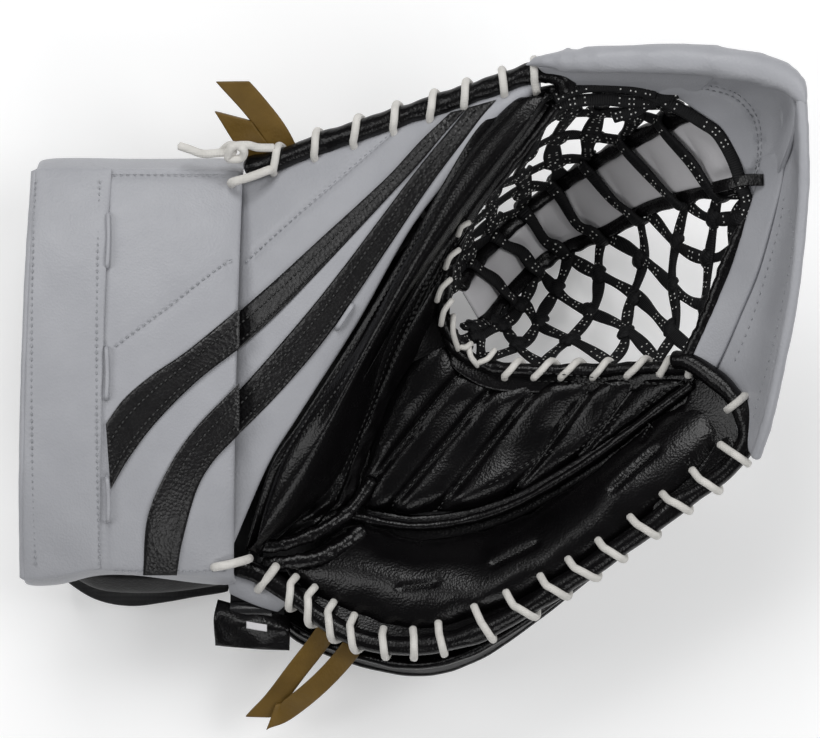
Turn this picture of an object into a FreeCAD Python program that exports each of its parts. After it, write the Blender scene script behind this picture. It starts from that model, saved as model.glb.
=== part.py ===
import FreeCAD, Part
import math
import os

# Goalie catch glove, lying on its back with the palm and pocket up.
# +X runs from the wrist cuff to the top of the pocket, +Z away from the floor.
# All sizes are in millimetres.

Vec = FreeCAD.Vector

FRAME_SHIFT = Vec(1.8, 11.4, 0.0)    # glove drawing datum to the row origin
SKIN = 4.0                          # leather over foam, cuff and thumb panels
BOARD = 3.0                         # stiff sheet behind a panel
LAYER_GAP = 0.6                     # clearance between stacked layers
BINDING_R = 4.7                     # rolled edge binding
POCKET_BINDING_R = 3.0
WEB_BINDING_R = 2.3
LACE_R = 2.1                        # white waxed lace
LACE_CLEAR = 0.15
THONG_WIDTH = 10.0
THONG_THICK = 2.4
STRIPE = 1.2                        # inlaid stripe sheet
BAND = 1.8                          # sewn-on band at the cuff's mouth
CUFF_LINING = 6.0
CUFF_WALL_DEEP = 24.0               # how far the cuff turns down at each side
SHELL = 3.0                         # stiff sheet round the back of the hand
PALM_THICK = 6.0
FINGER_THICK = 8.0
UNDER_BOARD = 2.5                   # stiffener under the palm and finger pads
STEM_THICK = 4.0
CAP_ROLL_R = 8.0
PIPING_R = 2.0
PAD_HIGH = 7.0                      # backhand cushion
PAD_CORNER_R = 3.0
NET_DEPTH = 3.4                     # laced net, drawn as one sheet
CUFF_LEFT = -183.0
CUFF_RIGHT = -86.5
CUFF_HALF = 99.0
BAND_RIGHT = -146.5
STALL_R = 14.0                      # thumb stall
STALL_WALL = 2.0
DIVIDER = Vec(26, 2, 30)            # fin between two fingers inside the liner
DIVIDER_AT = ((36, -46, 18), (36, -60, 18), (36, -74, 18))

os.makedirs("parts", exist_ok=True)


def export(name, shape):
    moved = shape.copy()
    moved.translate(FRAME_SHIFT)
    moved.exportStep("parts/" + name + ".step")


# Smooth rails and the surfaces carried on them

def along(points, t):
    """Point at fraction t of a smooth run through evenly counted points."""
    last = len(points) - 1
    s = min(max(t, 0.0), 1.0) * last
    i = min(int(s), last - 1)
    f = s - i
    p1 = points[i]
    p2 = points[i + 1]
    p0 = points[i - 1] if i > 0 else p1 * 2 - p2
    p3 = points[i + 2] if i + 2 <= last else p2 * 2 - p1
    return (p1 * 2 + (p2 - p0) * f + (p0 * 2 - p1 * 5 + p2 * 4 - p3) * f ** 2
            + (p1 * 3 - p0 - p2 * 3 + p3) * f ** 3) * 0.5


def rail(*points):
    return [Vec(*p) for p in points]


def on_rails(rails, u, v):
    return along([along(r, u) for r in rails], v)


def facing(rails, u, v):
    """Upward unit normal of the railed surface."""
    step = 0.01
    du = on_rails(rails, min(u + step, 1), v) - on_rails(rails, max(u - step, 0), v)
    dv = on_rails(rails, u, min(v + step, 1)) - on_rails(rails, u, max(v - step, 0))
    normal = du.cross(dv)
    return normal.normalize()


def grid_surface(rows):
    """Cubic surface steered by a point grid."""
    degrees = [min(3, len(rows) - 1), min(3, len(rows[0]) - 1)]
    knots = []
    mults = []
    for degree, count in zip(degrees, (len(rows), len(rows[0]))):
        spans = count - degree
        knots.append([float(k) for k in range(spans + 1)])
        mults.append([degree + 1] + [1] * (spans - 1) + [degree + 1])
    surface = Part.BSplineSurface()
    surface.buildFromPolesMultsKnots(rows, mults[0], mults[1], knots[0], knots[1], False, False,
                                     degrees[0], degrees[1])
    return surface


def solid_between(top, bottom):
    """Solid between two point grids with ruled sides."""
    faces = [grid_surface(top).toShape(), grid_surface(bottom).toShape()]
    upper = faces[0].Edges
    lower = faces[1].Edges
    for edge in upper:
        mid = edge.valueAt(edge.FirstParameter)
        end = edge.valueAt(edge.LastParameter)
        mate = min(lower, key=lambda e: pair_gap(e, mid, end))
        faces.append(Part.makeRuledSurface(edge, mate))
    shell = Part.Shell(faces)
    shell.sewShape()
    solid = Part.Solid(shell)
    if solid.Volume < 0:
        solid.reverse()
    return solid


def pair_gap(edge, start, end):
    a = edge.valueAt(edge.FirstParameter)
    b = edge.valueAt(edge.LastParameter)
    return min((a - start).Length + (b - end).Length, (a - end).Length + (b - start).Length)


def sheet(rails, depth, lift=0.0, u_span=(0, 1), v_span=(0, 1), count=(17, 11)):
    """Curved sheet: its top is lift above the rails, its underside depth lower."""
    top = []
    bottom = []
    for i in range(count[0]):
        u = u_span[0] + (u_span[1] - u_span[0]) * i / (count[0] - 1)
        top.append([])
        bottom.append([])
        for j in range(count[1]):
            v = v_span[0] + (v_span[1] - v_span[0]) * j / (count[1] - 1)
            point = on_rails(rails, u, v)
            normal = facing(rails, u, v)
            top[-1].append(point + normal * lift)
            bottom[-1].append(point + normal * (lift - depth))
    return solid_between(top, bottom)


def loft(sections):
    """Solid through closed smooth sections."""
    wires = []
    for section in sections:
        curve = Part.BSplineCurve()
        curve.interpolate(section, PeriodicFlag=True)
        wires.append(Part.Wire([curve.toShape()]))
    return Part.makeLoft(wires, True)


def tube(points, radius):
    curve = Part.BSplineCurve()
    curve.interpolate(points)
    path = Part.Wire([curve.toShape()])
    start = curve.value(curve.FirstParameter)
    heading = curve.tangent(curve.FirstParameter)[0]
    ring = Part.Wire([Part.Edge(Part.Circle(start, heading, radius))])
    return path.makePipeShell([ring], True, False)


def side_axes(points, t):
    """Sideways and upward unit vectors square to a run."""
    heading = along(points, min(t + 0.01, 1)) - along(points, max(t - 0.01, 0))
    side = heading.cross(Vec(0, 0, 1)).normalize()
    return side, side.cross(heading).normalize()


def whip_lace(points, span, wraps, core_r):
    """One lace wound round a rolled binding, a turn at each stitch hole."""
    ring = core_r + LACE_R + LACE_CLEAR
    steps = 8
    path = []
    for k in range(wraps * steps + 1):
        t = span[0] + (span[1] - span[0]) * k / (wraps * steps)
        side, up = side_axes(points, t)
        turn = 2 * math.pi * k / steps
        path.append(along(points, t) + side * (ring * math.cos(turn)) + up * (ring * math.sin(turn)))
    return tube(path, LACE_R)


def flat_strap(points, across, width, thick):
    """Strap of constant width whose centre line runs through the points."""
    half = across * (width / 2)
    return sheet([[p - half for p in points], [p + half for p in points]], thick,
                 thick / 2, count=(7, 2))


# Cuff

def cuff_height(x, y):
    s = y / 100
    return 103 - 17 * s ** 2 - 6 * s ** 4 - 4 * ((x + 150) / 64) ** 2


def on_cuff(pairs):
    return [Vec(x, y, cuff_height(x, y)) for x, y in pairs]


def cuff_rails(left, right, half):
    rows = (-1, -0.5, 0, 0.5, 1)
    xs = [left + (right - left) * k / 3 for k in range(4)]
    return [on_cuff([(x, half * r) for x in xs]) for r in rows]


def cuff_wall(side):
    y = side * CUFF_HALF
    top = [Vec(x, y + side * 0.4, cuff_height(x, y) - 0.6) for x in (CUFF_LEFT, -135, CUFF_RIGHT)]
    mid = [p + Vec(0, side * 2.5, -CUFF_WALL_DEEP / 2) for p in top]
    low = [p + Vec(0, side * 1.0, -CUFF_WALL_DEEP) for p in top]
    rails = [top, mid, low] if side > 0 else [low, mid, top]
    return sheet(rails, -SHELL, count=(7, 7))


CUFF_STRIPE_A = (on_cuff([(-143, -56), (-134, -41), (-121, -24), (-102, -5), (-88, 5)]),
                 on_cuff([(-144.5, -25), (-136, -13), (-123, -2), (-107, 9), (-88, 25)]))
CUFF_STRIPE_B = (on_cuff([(-112, -96), (-109, -81), (-103, -58), (-95, -44), (-88, -36)]),
                 on_cuff([(-129, -96), (-126, -69), (-116, -46), (-103, -27), (-88, -12)]))


def build_cuff():
    whole = cuff_rails(CUFF_LEFT, CUFF_RIGHT, CUFF_HALF)
    inner = cuff_rails(CUFF_LEFT + 4, CUFF_RIGHT - 4, CUFF_HALF - 4)
    export("cuff_shell", sheet(whole, SKIN))
    export("cuff_board", sheet(inner, BOARD, -SKIN - LAYER_GAP))
    export("cuff_lining", sheet(inner, CUFF_LINING, -SKIN - BOARD - 2 * LAYER_GAP))
    band = cuff_rails(CUFF_LEFT + 1, BAND_RIGHT, CUFF_HALF - 1)
    export("cuff_band", sheet(band, BAND, BAND + LAYER_GAP))
    export("cuff_stripe_a", sheet(CUFF_STRIPE_A, STRIPE, STRIPE + LAYER_GAP, count=(13, 4)))
    export("cuff_stripe_b", sheet(CUFF_STRIPE_B, STRIPE, STRIPE + LAYER_GAP, count=(13, 4)))
    export("cuff_wall_top", cuff_wall(1))
    export("cuff_wall_heel", cuff_wall(-1))
    piping = [Vec(CUFF_LEFT - 2.2, y, cuff_height(CUFF_LEFT, y) - 2) for y in (-97, -50, 0, 50, 97)]
    export("cuff_piping", tube(piping, PIPING_R))


# Thumb side: panel, pad roll, back, nets' upper half and cap roll

def thumb_height(x, y):
    top = 117.2 + 0.29 * x
    seam = 64 + 1.45 * x - 0.0035 * x ** 2
    centre = (top + seam) / 2
    half = max((top - seam) / 2, 6)
    crown = 4 + 9 * ((47 - x) / 127) ** 2
    return 111 + 0.245 * x - 0.0004 * x ** 2 - crown * ((y - centre) / half) ** 2


def on_thumb(pairs):
    return [Vec(x, y, thumb_height(x, y)) for x, y in pairs]


THUMB_TOP = ((-80, 90), (-45, 99), (-7, 108), (24, 118), (44, 125))
THUMB_SEAM = ((-81, -72), (-64, -22), (-26, 29), (13, 85), (46, 125))
THUMB_STRIPE_A = (on_thumb([(-80, 13), (-45, 46), (-11, 82), (0, 93), (15, 108)]),
                  on_thumb([(-79, 32), (-45, 63), (-11, 93), (6, 110), (14, 115)]))
THUMB_STRIPE_B = (on_thumb([(-77, -24), (-45, 11), (-14, 55), (6, 84), (28, 114)]),
                  on_thumb([(-80, -6), (-49, 27), (-19, 68), (1, 91.5), (19, 110)]))
PAD_SEAM = rail((-79, -85, 68), (-69, -47, 80), (-54, -24, 88), (-28, 17, 100), (7, 74, 112), (51, 127, 122))
PAD_CREST = rail((-77, -88, 72), (-56, -55, 86), (-40, -25, 96), (-18, 16, 107), (17, 73, 119), (58, 127, 129))
PAD_INNER = rail((-73, -89, 63), (-48, -62, 62), (-29, -23, 69), (-12, 18, 79), (24, 74, 103), (66, 126, 122))
PAD_LOW = rail((-77, -85, 60), (-64, -50, 66), (-47, -22, 74), (-22, 16, 84), (13, 72, 100), (57, 125, 115))
THUMB_EDGE = rail((-78, 100, 78), (-54, 106, 86), (-26, 115, 97), (2, 124, 106), (30, 133, 114),
                  (48, 138, 119))
THUMB_POCKET = rail((65, 120, 112), (46, 99, 103), (27, 76, 92), (16, 58, 84), (10, 43, 76), (8, 30, 69))
ROLL_LINE = rail((60, 140, 134), (85, 142, 142), (112, 142, 147), (130, 141, 149), (146, 137, 150))
STEM_THUMB = rail((133, 122, 108), (115, 115, 84), (96, 106, 54), (79, 96, 28), (63, 85, 13), (46, 70, 12),
                  (30, 53, 26), (21, 40, 44))
STEM_MID = rail((146, 104, 106), (126, 99, 78), (107, 91, 46), (89, 79, 20), (70, 68, 6), (53, 61, 7),
                (37, 44, 22), (27, 31, 42))
STEM_FINGER = rail((152, 86, 99), (134, 84, 78), (114, 79, 46), (96, 69, 20), (76, 61, 6), (59, 50, 7),
                   (43, 34, 22), (33, 22, 40))
WEB_SIDE = Vec(-0.66, 0.75, 0)      # across the pocket fold, towards the thumb


def shifted(points, offset):
    return [p + offset for p in points]


def pad_section(k):
    """Flat ring of four points round the pad roll."""
    ring = [PAD_SEAM[k], PAD_CREST[k], PAD_INNER[k], PAD_LOW[k]]
    centre = (ring[0] + ring[1] + ring[2] + ring[3]) * 0.25
    heading = (PAD_CREST[min(k + 1, 5)] - PAD_CREST[max(k - 1, 0)]).normalize()
    return [p - heading * heading.dot(p - centre) for p in ring]


def build_thumb():
    panel = [on_thumb(THUMB_SEAM), on_thumb(THUMB_TOP)]
    middle = [(a + b) * 0.5 for a, b in zip(panel[0], panel[1])]
    middle = on_thumb([(p.x, p.y) for p in middle])
    rails = [panel[0], middle, panel[1]]
    export("thumb_panel", sheet(rails, SKIN, u_span=(0, 0.98)))
    export("thumb_board", sheet(rails, BOARD, -SKIN - LAYER_GAP, (0.04, 0.9), (0.12, 0.94)))
    export("thumb_stripe_a", sheet(THUMB_STRIPE_A, STRIPE, STRIPE + LAYER_GAP, count=(13, 4)))
    export("thumb_stripe_b", sheet(THUMB_STRIPE_B, STRIPE, STRIPE + LAYER_GAP, count=(13, 4)))
    export("thumb_pad", loft([pad_section(k) for k in range(6)]))
    export("thumb_binding", tube(THUMB_EDGE, BINDING_R))
    export("thumb_lace", whip_lace(THUMB_EDGE, (0.06, 0.97), 8, BINDING_R))
    back_top = rail((-77, 90, 66), (-45, 100, 74), (-7, 109, 87), (24, 119, 98), (46, 126, 106))
    back_mid = rail((-78, 40, 32), (-42, 64, 40), (-2, 90, 56), (30, 110, 78), (49, 124, 99))
    back_low = rail((-78, -62, 52), (-60, -34, 58), (-32, 10, 66), (4, 62, 84), (48, 116, 100))
    export("thumb_back", sheet([back_low, back_mid, back_top], SHELL))
    export("thumb_liner", thumb_sleeve())
    export("thumb_pocket_binding", tube(THUMB_POCKET, POCKET_BINDING_R))
    export("thumb_pocket_lace", whip_lace(THUMB_POCKET, (0.05, 0.95), 8, POCKET_BINDING_R))
    export("cap_roll", tube(ROLL_LINE, CAP_ROLL_R))
    wall_top = rail((66, 132, 124), (90, 134, 130), (117, 134, 134), (140, 129, 136))
    wall_low = rail((74, 129, 114), (92, 129, 112), (114, 128, 112), (134, 124, 116))
    export("cap_wall", sheet([wall_low, wall_top], SHELL, count=(6, 3)))
    near = shifted(STEM_THUMB[::-1], WEB_SIDE * 6.5)
    far = shifted(THUMB_POCKET[::-1], Vec(3, -3, -9.5))
    export("thumb_net", sheet([near, net_middle(near, far, 12), far], NET_DEPTH, NET_DEPTH / 2, (0.14, 1.0)))


def net_middle(side_a, side_b, sag):
    """Rail half way between two edges, hanging outwards by sag."""
    middle = []
    for k in range(5):
        t = k / 4
        droop = Vec(-0.3, 0.35, -0.6) * (sag * math.sin(math.pi * t))
        middle.append((along(side_a, t) + along(side_b, t)) * 0.5 + droop)
    return middle


def thumb_sleeve():
    """Hollow stall for the thumb, open at the wrist and closed at the tip."""
    start = Vec(-68, 18, 66)
    end = Vec(-2, 80, 83)
    heading = (end - start).normalize()
    outer = Part.makeCylinder(STALL_R, (end - start).Length, start, heading)
    inner = Part.makeCylinder(STALL_R - STALL_WALL, (end - start).Length - SHELL, start, heading)
    return outer.cut(inner)


def build_thumb_trim():
    across = Vec(8, 5, 0).normalize()
    long_thong = rail((-60, 100, 72), (-68, 116, 73), (-79, 130, 80), (-89, 139, 86))
    short_thong = rail((-75, 99, 70), (-78, 108, 72), (-83, 117, 80))
    export("top_thong_a", flat_strap(long_thong, across, THONG_WIDTH, THONG_THICK))
    export("top_thong_b", flat_strap(short_thong, across, THONG_WIDTH, THONG_THICK))


# Web stem, the middle strip of the pocket

def build_web():
    upper = shifted(STEM_THUMB, WEB_SIDE * -3.2)
    lower = shifted(STEM_FINGER, WEB_SIDE * 3.2)
    stem = [upper, [along(STEM_MID, k / 7) for k in range(8)], lower]
    export("t_stem", sheet(stem, STEM_THICK, STEM_THICK / 2, count=(25, 7)))
    export("stem_binding_thumb", tube(STEM_THUMB, WEB_BINDING_R))
    export("stem_binding_finger", tube(STEM_FINGER, WEB_BINDING_R))
    export("stem_patch", sheet(stem, 1.6, 3.9, (0.02, 0.97), (0.12, 0.88), count=(25, 5)))


# Hand side: palm, fingers, back of the hand, nets' lower half and cap flap

PALM_SEAM = rail((-30, -69, 48), (2, -74, 52), (41, -66, 58), (79, -45, 66), (112, -20, 78), (131, -6, 88))
PALM_MID = rail((-8, -30, 50), (21, -37, 49), (55, -34, 52), (89, -23, 62), (114, -11, 76), (130, -4, 87))
PALM_TOP = rail((16, 10, 58), (41, -3, 56), (70, -5, 59), (98, -5, 67), (116, -5, 77), (130, -2, 86))
FINGER_IN = rail((-70, -92, 57), (-51, -84, 53), (-30, -72, 46), (2, -77.5, 50), (41, -69.5, 56),
                 (79, -48.5, 64), (112, -23.5, 77), (133, -10, 89))
FINGER_MID = rail((-65, -97, 59), (-43, -98, 60), (-19, -99, 63), (12, -99, 69), (50, -89, 76),
                  (88, -66, 84), (120, -40, 93), (141, -19, 99))
FINGER_OUT = rail((-62, -102, 60), (-44, -111, 65), (-18, -120, 74), (11, -120, 82), (48, -106, 90),
                  (90, -79, 97), (126, -52, 101), (145, -32, 104))
FINGER_EDGE = rail((-73, -103, 60), (-55, -116, 64), (-31, -127, 72), (-7, -131, 78), (12, -129, 83),
                   (40, -119, 90), (68, -102, 95), (96, -83, 99), (124, -62, 102), (147, -45, 105),
                   (155, -33, 107), (154, -21, 107), (146, -9, 103))
POCKET_EDGE = rail((18, 13, 64), (31, 4, 61), (50, 1, 60), (70, 0, 62), (88, 0, 67), (107, 1, 74),
                   (121, 1, 81), (132, 0, 88))
FLAP_RIM = rail((172, 104, 154), (177, 84, 152), (179, 57, 147), (175, 28, 140), (169, -7, 128),
                (163, -28, 118))
FLAP_MID = rail((169, 99, 138), (170, 80, 131), (169, 56, 126), (164, 27, 119), (158, 2, 114), (155, -8, 110))
FLAP_IN = rail((165, 93, 116), (164, 78, 108), (160, 52, 102), (153, 28, 98), (146, 12, 95), (143, 4, 94))
FLAP_EDGE = rail((162, 80, 104.5), (160, 72, 103), (156, 51, 99), (149, 27, 95), (142, 12, 92))
BACK_INNER = rail((-57, -49, 12.5), (-32, -34, 12), (-2, -25, 12.5), (32, -20, 14), (71, -17, 21),
                  (107, -14, 40), (134, -12, 66))
BACK_SAG = (4, 9, 11, 11, 12, 10, 8)
BACK_OUTER = rail((-75, -112, 22), (-54, -132, 28), (-7, -146, 36), (27, -142, 42), (70, -118, 50),
                  (122, -70, 64), (152, -36, 80))
BACK_RIM = rail((-70, -116, 38), (-50, -129, 47), (-7, -143, 60), (27, -138, 72), (70, -114, 82),
                (122, -71, 91), (154, -43, 94))


def build_palm():
    palm = [PALM_SEAM, PALM_MID, PALM_TOP]
    export("palm_pad", sheet(palm, PALM_THICK, u_span=(0, 0.86), v_span=(0, 0.83)))
    export("palm_board", sheet(palm, UNDER_BOARD, -PALM_THICK - LAYER_GAP, (0.04, 0.85), (0.06, 0.88)))
    finger = [FINGER_OUT, FINGER_MID, FINGER_IN]
    export("finger_pad", sheet(finger, FINGER_THICK, u_span=(0.03, 0.97), v_span=(0.1, 1)))
    export("finger_board", sheet(finger, UNDER_BOARD, -FINGER_THICK - LAYER_GAP, (0.08, 0.9), (0.12, 0.85)))
    welt = [p + Vec(0, -1.6, 1.2) for p in PALM_SEAM]
    export("palm_welt", tube(welt, 1.3))
    export("finger_binding", tube(FINGER_EDGE, BINDING_R))
    export("finger_lace", whip_lace(FINGER_EDGE, (0.08, 0.98), 18, BINDING_R))
    export("pocket_binding", tube(POCKET_EDGE, POCKET_BINDING_R))
    export("pocket_lace", whip_lace(POCKET_EDGE, (0.05, 0.97), 8, POCKET_BINDING_R))


def build_hand_back():
    knuckle = [(a + b) * 0.5 - Vec(0, 4, c) for a, b, c in zip(BACK_INNER, BACK_OUTER, BACK_SAG)]
    export("finger_back", sheet([BACK_OUTER, knuckle, BACK_INNER], SHELL))
    side_low = shifted(BACK_OUTER, Vec(0.5, -0.8, 0.8))
    side_mid = [(a + b) * 0.5 + Vec(1, -3, -1) for a, b in zip(BACK_OUTER, BACK_RIM)]
    export("finger_side", sheet([BACK_RIM, side_mid, side_low], SHELL))
    export("backhand_pad", backhand_pad())
    export("hand_liner", hand_sleeve())
    for letter, corner in zip("abc", DIVIDER_AT):
        fin = Part.makeBox(DIVIDER.x, DIVIDER.y, DIVIDER.z, Vec(*corner))
        export("finger_divider_" + letter, fin.common(hand_cavity()))


def backhand_pad():
    """Flat-bottomed cushion behind the hand; the glove rests on it."""
    block = Part.makeBox(98, 74, PAD_HIGH, Vec(-26, -104, 0))
    edges = [e for e in block.Edges if e.BoundBox.ZMax > PAD_HIGH / 2]
    return block.makeFillet(PAD_CORNER_R, edges)


def oval(centre, heading, half_wide, half_high):
    """Closed ring of points, wide across the hand and flat through it."""
    across = heading.cross(Vec(0, 0, 1)).normalize()
    lift = across.cross(heading).normalize()
    ring = []
    for k in range(8):
        turn = 2 * math.pi * k / 8
        ring.append(centre + across * (half_wide * math.cos(turn)) + lift * (half_high * math.sin(turn)))
    return ring


HAND_LINE = rail((-74, -62, 26), (-30, -66, 25.5), (12, -70, 26.5), (46, -66, 32), (76, -54, 42))
HAND_WIDE = (36, 37, 36, 31, 23)
HAND_HIGH = (12, 12, 11.5, 10.5, 8.5)
LINER_WALL = 2.0


def hand_sections(wall):
    """Rings down the liner, shrunk by wall; the far end is pulled back by it."""
    sections = []
    for k, centre in enumerate(HAND_LINE):
        heading = (HAND_LINE[min(k + 1, 4)] - HAND_LINE[max(k - 1, 0)]).normalize()
        pull = -wall if k in (0, 4) else 0.0
        sections.append(oval(centre + heading * pull, heading, HAND_WIDE[k] - wall, HAND_HIGH[k] - wall))
    return sections


def hand_cavity():
    return loft(hand_sections(LINER_WALL))


def hand_sleeve():
    """Glove liner: open at the wrist, closed at the finger tips."""
    return loft(hand_sections(0.0)).cut(hand_cavity())


def build_pocket_finger_side():
    near = shifted(STEM_FINGER[::-1], WEB_SIDE * -7.5)
    far = shifted(POCKET_EDGE, Vec(-2, 7.5, -6)) + [Vec(139, 14, 88), Vec(150, 50, 94), Vec(152, 74, 98)]
    middle = []
    for k in range(5):
        t = k / 4
        droop = Vec(0.1, -0.1, -0.6) * (16 * math.sin(math.pi * t))
        middle.append((along(near, t) + along(far, t)) * 0.5 + droop)
    export("finger_net", sheet([far, middle, near], NET_DEPTH, NET_DEPTH / 2, (0.14, 0.92)))
    export("cap_flap", sheet([FLAP_RIM, FLAP_MID, FLAP_IN], 4.0))
    piping = [p + Vec(2.5, 0, 1.2) for p in FLAP_RIM]
    export("flap_piping", tube(piping, PIPING_R))
    export("flap_binding", tube(FLAP_EDGE, 2.5))


def build_gusset():
    seam = rail((-37, -62, 50), (-21, -26, 57), (-5, 10, 66), (6, 28, 70))
    crease = rail((-33, -63, 46), (-15, -28, 47), (2, 2, 52), (11, 15, 58))
    export("gusset", sheet([crease, seam], 2.0, count=(13, 4)))


def build_thongs():
    across = Vec(9, -5, 0).normalize()
    root_a = rail((-41, -121, 56), (-50, -137, 52), (-63, -155, 38), (-77, -170, 25))
    root_b = rail((-28, -131, 61), (-40, -145, 57), (-55, -158, 45), (-70, -168, 34))
    export("heel_thong_a", flat_strap(root_a, across, THONG_WIDTH, THONG_THICK))
    export("heel_thong_b", flat_strap(root_b, across, THONG_WIDTH, THONG_THICK))


RING_AXIS = Vec(-79, -116, 49.5)    # middle of the bar the strap ring swings on
RING_BAR = 3.6
RING_WIDE = 32.0
RING_LONG = 18.0
TAB_WIDE = 20.0
TAB_THICK = 2.4


def build_straps():
    edge = RING_AXIS - Vec(TAB_WIDE / 2, 0, 0)
    plate = Part.makeBox(TAB_WIDE, 14, TAB_THICK, edge + Vec(0, RING_BAR, -TAB_THICK / 2))
    loop = Part.makeCylinder(5.0, TAB_WIDE, edge, Vec(1, 0, 0))
    hole = Part.makeCylinder(3.0, TAB_WIDE, edge, Vec(1, 0, 0))
    export("strap_tab", plate.fuse(loop).cut(hole))
    half = RING_BAR / 2
    corner = RING_AXIS + Vec(-RING_WIDE / 2, half - RING_LONG, -half)
    outer = Part.makeBox(RING_WIDE, RING_LONG, RING_BAR, corner)
    inner = Part.makeBox(RING_WIDE - 2 * RING_BAR, RING_LONG - 2 * RING_BAR, RING_BAR,
                         corner + Vec(RING_BAR, RING_BAR, 0))
    export("strap_ring", outer.cut(inner))
    strap = rail((-48, -106, 6), (-48, -98, 3.4), (-48, -60, 2.4), (-48, -18, 2.4))
    export("backhand_strap", flat_strap(strap, Vec(1, 0, 0), 26, 2.2))
    export("strap_patch", Part.makeBox(22, 34, 1.4, Vec(-59, -56, 3.7)))


def build_wrist_liner():
    """Padded band under the wrist, reaching in below the mouth of the hand liner."""
    profile = ((-113, 22, -92), (-106, 9, -90), (-92, 5.6, -80), (-50, 5.5, -65), (-10, 5.5, -64),
               (30, 5.5, -72), (60, 6.5, -84), (74, 12, -92))
    rails = [[Vec(-172 + (172 + end) * k / 3, y, z) for k in range(4)] for y, z, end in profile]
    export("wrist_liner", sheet(rails, 5.0, count=(9, 25)))


def build_laces():
    knot = Part.makeSphere(4.2, Vec(-84, 104, 88))
    export("lace_knot", knot)
    export("lace_tail", Part.makeCylinder(LACE_R, 22, Vec(-88.5, 104, 88), Vec(-21.8, 1.0, 2.5)))


build_cuff()
build_thumb()
build_thumb_trim()
build_web()
build_palm()
build_hand_back()
build_pocket_finger_side()
build_gusset()
build_thongs()
build_straps()
build_wrist_liner()
build_laces()
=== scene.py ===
import math
import bpy
import numpy as np
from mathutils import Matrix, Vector
from mathutils.bvhtree import BVHTree


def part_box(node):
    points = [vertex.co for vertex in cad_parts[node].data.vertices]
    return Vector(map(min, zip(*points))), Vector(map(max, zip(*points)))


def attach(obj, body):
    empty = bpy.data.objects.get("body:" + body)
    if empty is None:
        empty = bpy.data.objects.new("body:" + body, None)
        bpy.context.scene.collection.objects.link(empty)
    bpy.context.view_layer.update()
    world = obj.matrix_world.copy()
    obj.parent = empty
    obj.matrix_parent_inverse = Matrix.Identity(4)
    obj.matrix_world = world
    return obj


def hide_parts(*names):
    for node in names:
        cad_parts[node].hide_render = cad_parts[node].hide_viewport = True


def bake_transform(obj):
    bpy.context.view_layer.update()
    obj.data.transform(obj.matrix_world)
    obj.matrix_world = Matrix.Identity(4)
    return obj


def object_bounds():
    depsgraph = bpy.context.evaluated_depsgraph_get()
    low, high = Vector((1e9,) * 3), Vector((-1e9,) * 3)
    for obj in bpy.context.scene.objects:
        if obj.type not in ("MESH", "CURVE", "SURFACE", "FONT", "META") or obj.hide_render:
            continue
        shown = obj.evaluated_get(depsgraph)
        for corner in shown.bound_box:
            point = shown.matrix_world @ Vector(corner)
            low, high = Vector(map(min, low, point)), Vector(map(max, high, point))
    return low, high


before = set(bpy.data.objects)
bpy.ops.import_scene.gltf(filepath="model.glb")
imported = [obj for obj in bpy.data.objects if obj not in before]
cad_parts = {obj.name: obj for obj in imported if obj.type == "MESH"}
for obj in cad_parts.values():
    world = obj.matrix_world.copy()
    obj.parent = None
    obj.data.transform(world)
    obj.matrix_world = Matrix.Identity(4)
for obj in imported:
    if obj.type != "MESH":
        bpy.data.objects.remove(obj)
CAD_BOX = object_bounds()

# Goalie catch glove on its back. Lengths below are millimetres from the glove datum; DATUM puts
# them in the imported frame, from the corner of the CAD cushion that the glove rests on.
MM = 0.001
PAD_CORNER = np.array((-26.0, -104.0, 0.0))
DATUM = np.array(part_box("backhand_pad")[0]) / MM - PAD_CORNER
RNG = np.random.default_rng(7)
UP = np.array((0.0, 0.0, 1.0))
WEB_SIDE = np.array((-0.66, 0.75, 0.0))      # across the T stem, towards the thumb
PANEL = 3.0                                  # thickness of a lined leather panel
HEM = 2.2                                    # and of a single sewn layer
SHELL_THICK = 3.4
WRAP_R, WRAP_SINK = 1.85, 4.0                # a whipped lace, and how deep its end goes into its hole
WRAP_TURNS = np.radians((140, 112, 90, 65, 35, 0, -35, -70))
STITCH_ARCH = 0.25 + np.array((-0.35, 0.05, 0.15, 0.05, -0.35))
LOOP_ARCH = np.array((-1.5, 2.6, 2.4, 2.6, -1.5))
VOXEL = 4.0                                  # of the remesh before a cloth run
DROP_FROM = 400.0                            # above every piece, for lines dropped on to one
LOWEST = 2.2                                 # no net lace's middle line comes nearer the floor


# ---------------------------------------------------------------- materials

def new_material(name):
    """A new material, with its tree, its shader and the object's own coordinates."""
    mat = bpy.data.materials.new(name)
    mat.use_nodes = True
    tree = mat.node_tree
    return mat, tree, tree.nodes["Principled BSDF"], tree.nodes.new("ShaderNodeTexCoord").outputs["Object"]


def add(tree, kind, **values):
    node = tree.nodes.new(kind)
    for key, value in values.items():
        if key in node.inputs.keys():
            node.inputs[key].default_value = value
        else:
            setattr(node, key, value)
    return node


def noise(tree, coords, scale, detail=4.0, rough=0.55):
    node = add(tree, "ShaderNodeTexNoise", Scale=scale, Detail=detail, Roughness=rough)
    tree.links.new(coords, node.inputs["Vector"])
    return node.outputs["Fac"]


def mix_colour(tree, factor, low, high):
    ramp = tree.nodes.new("ShaderNodeValToRGB")
    ramp.color_ramp.elements[0].position = 0.3
    ramp.color_ramp.elements[1].position = 0.7
    ramp.color_ramp.elements[0].color = (*low, 1)
    ramp.color_ramp.elements[1].color = (*high, 1)
    tree.links.new(factor, ramp.inputs["Fac"])
    return ramp.outputs["Color"]


def stretch(tree, factor, low, high):
    node = tree.nodes.new("ShaderNodeMapRange")
    node.inputs["To Min"].default_value = low
    node.inputs["To Max"].default_value = high
    tree.links.new(factor, node.inputs["Value"])
    return node.outputs["Result"]


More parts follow.
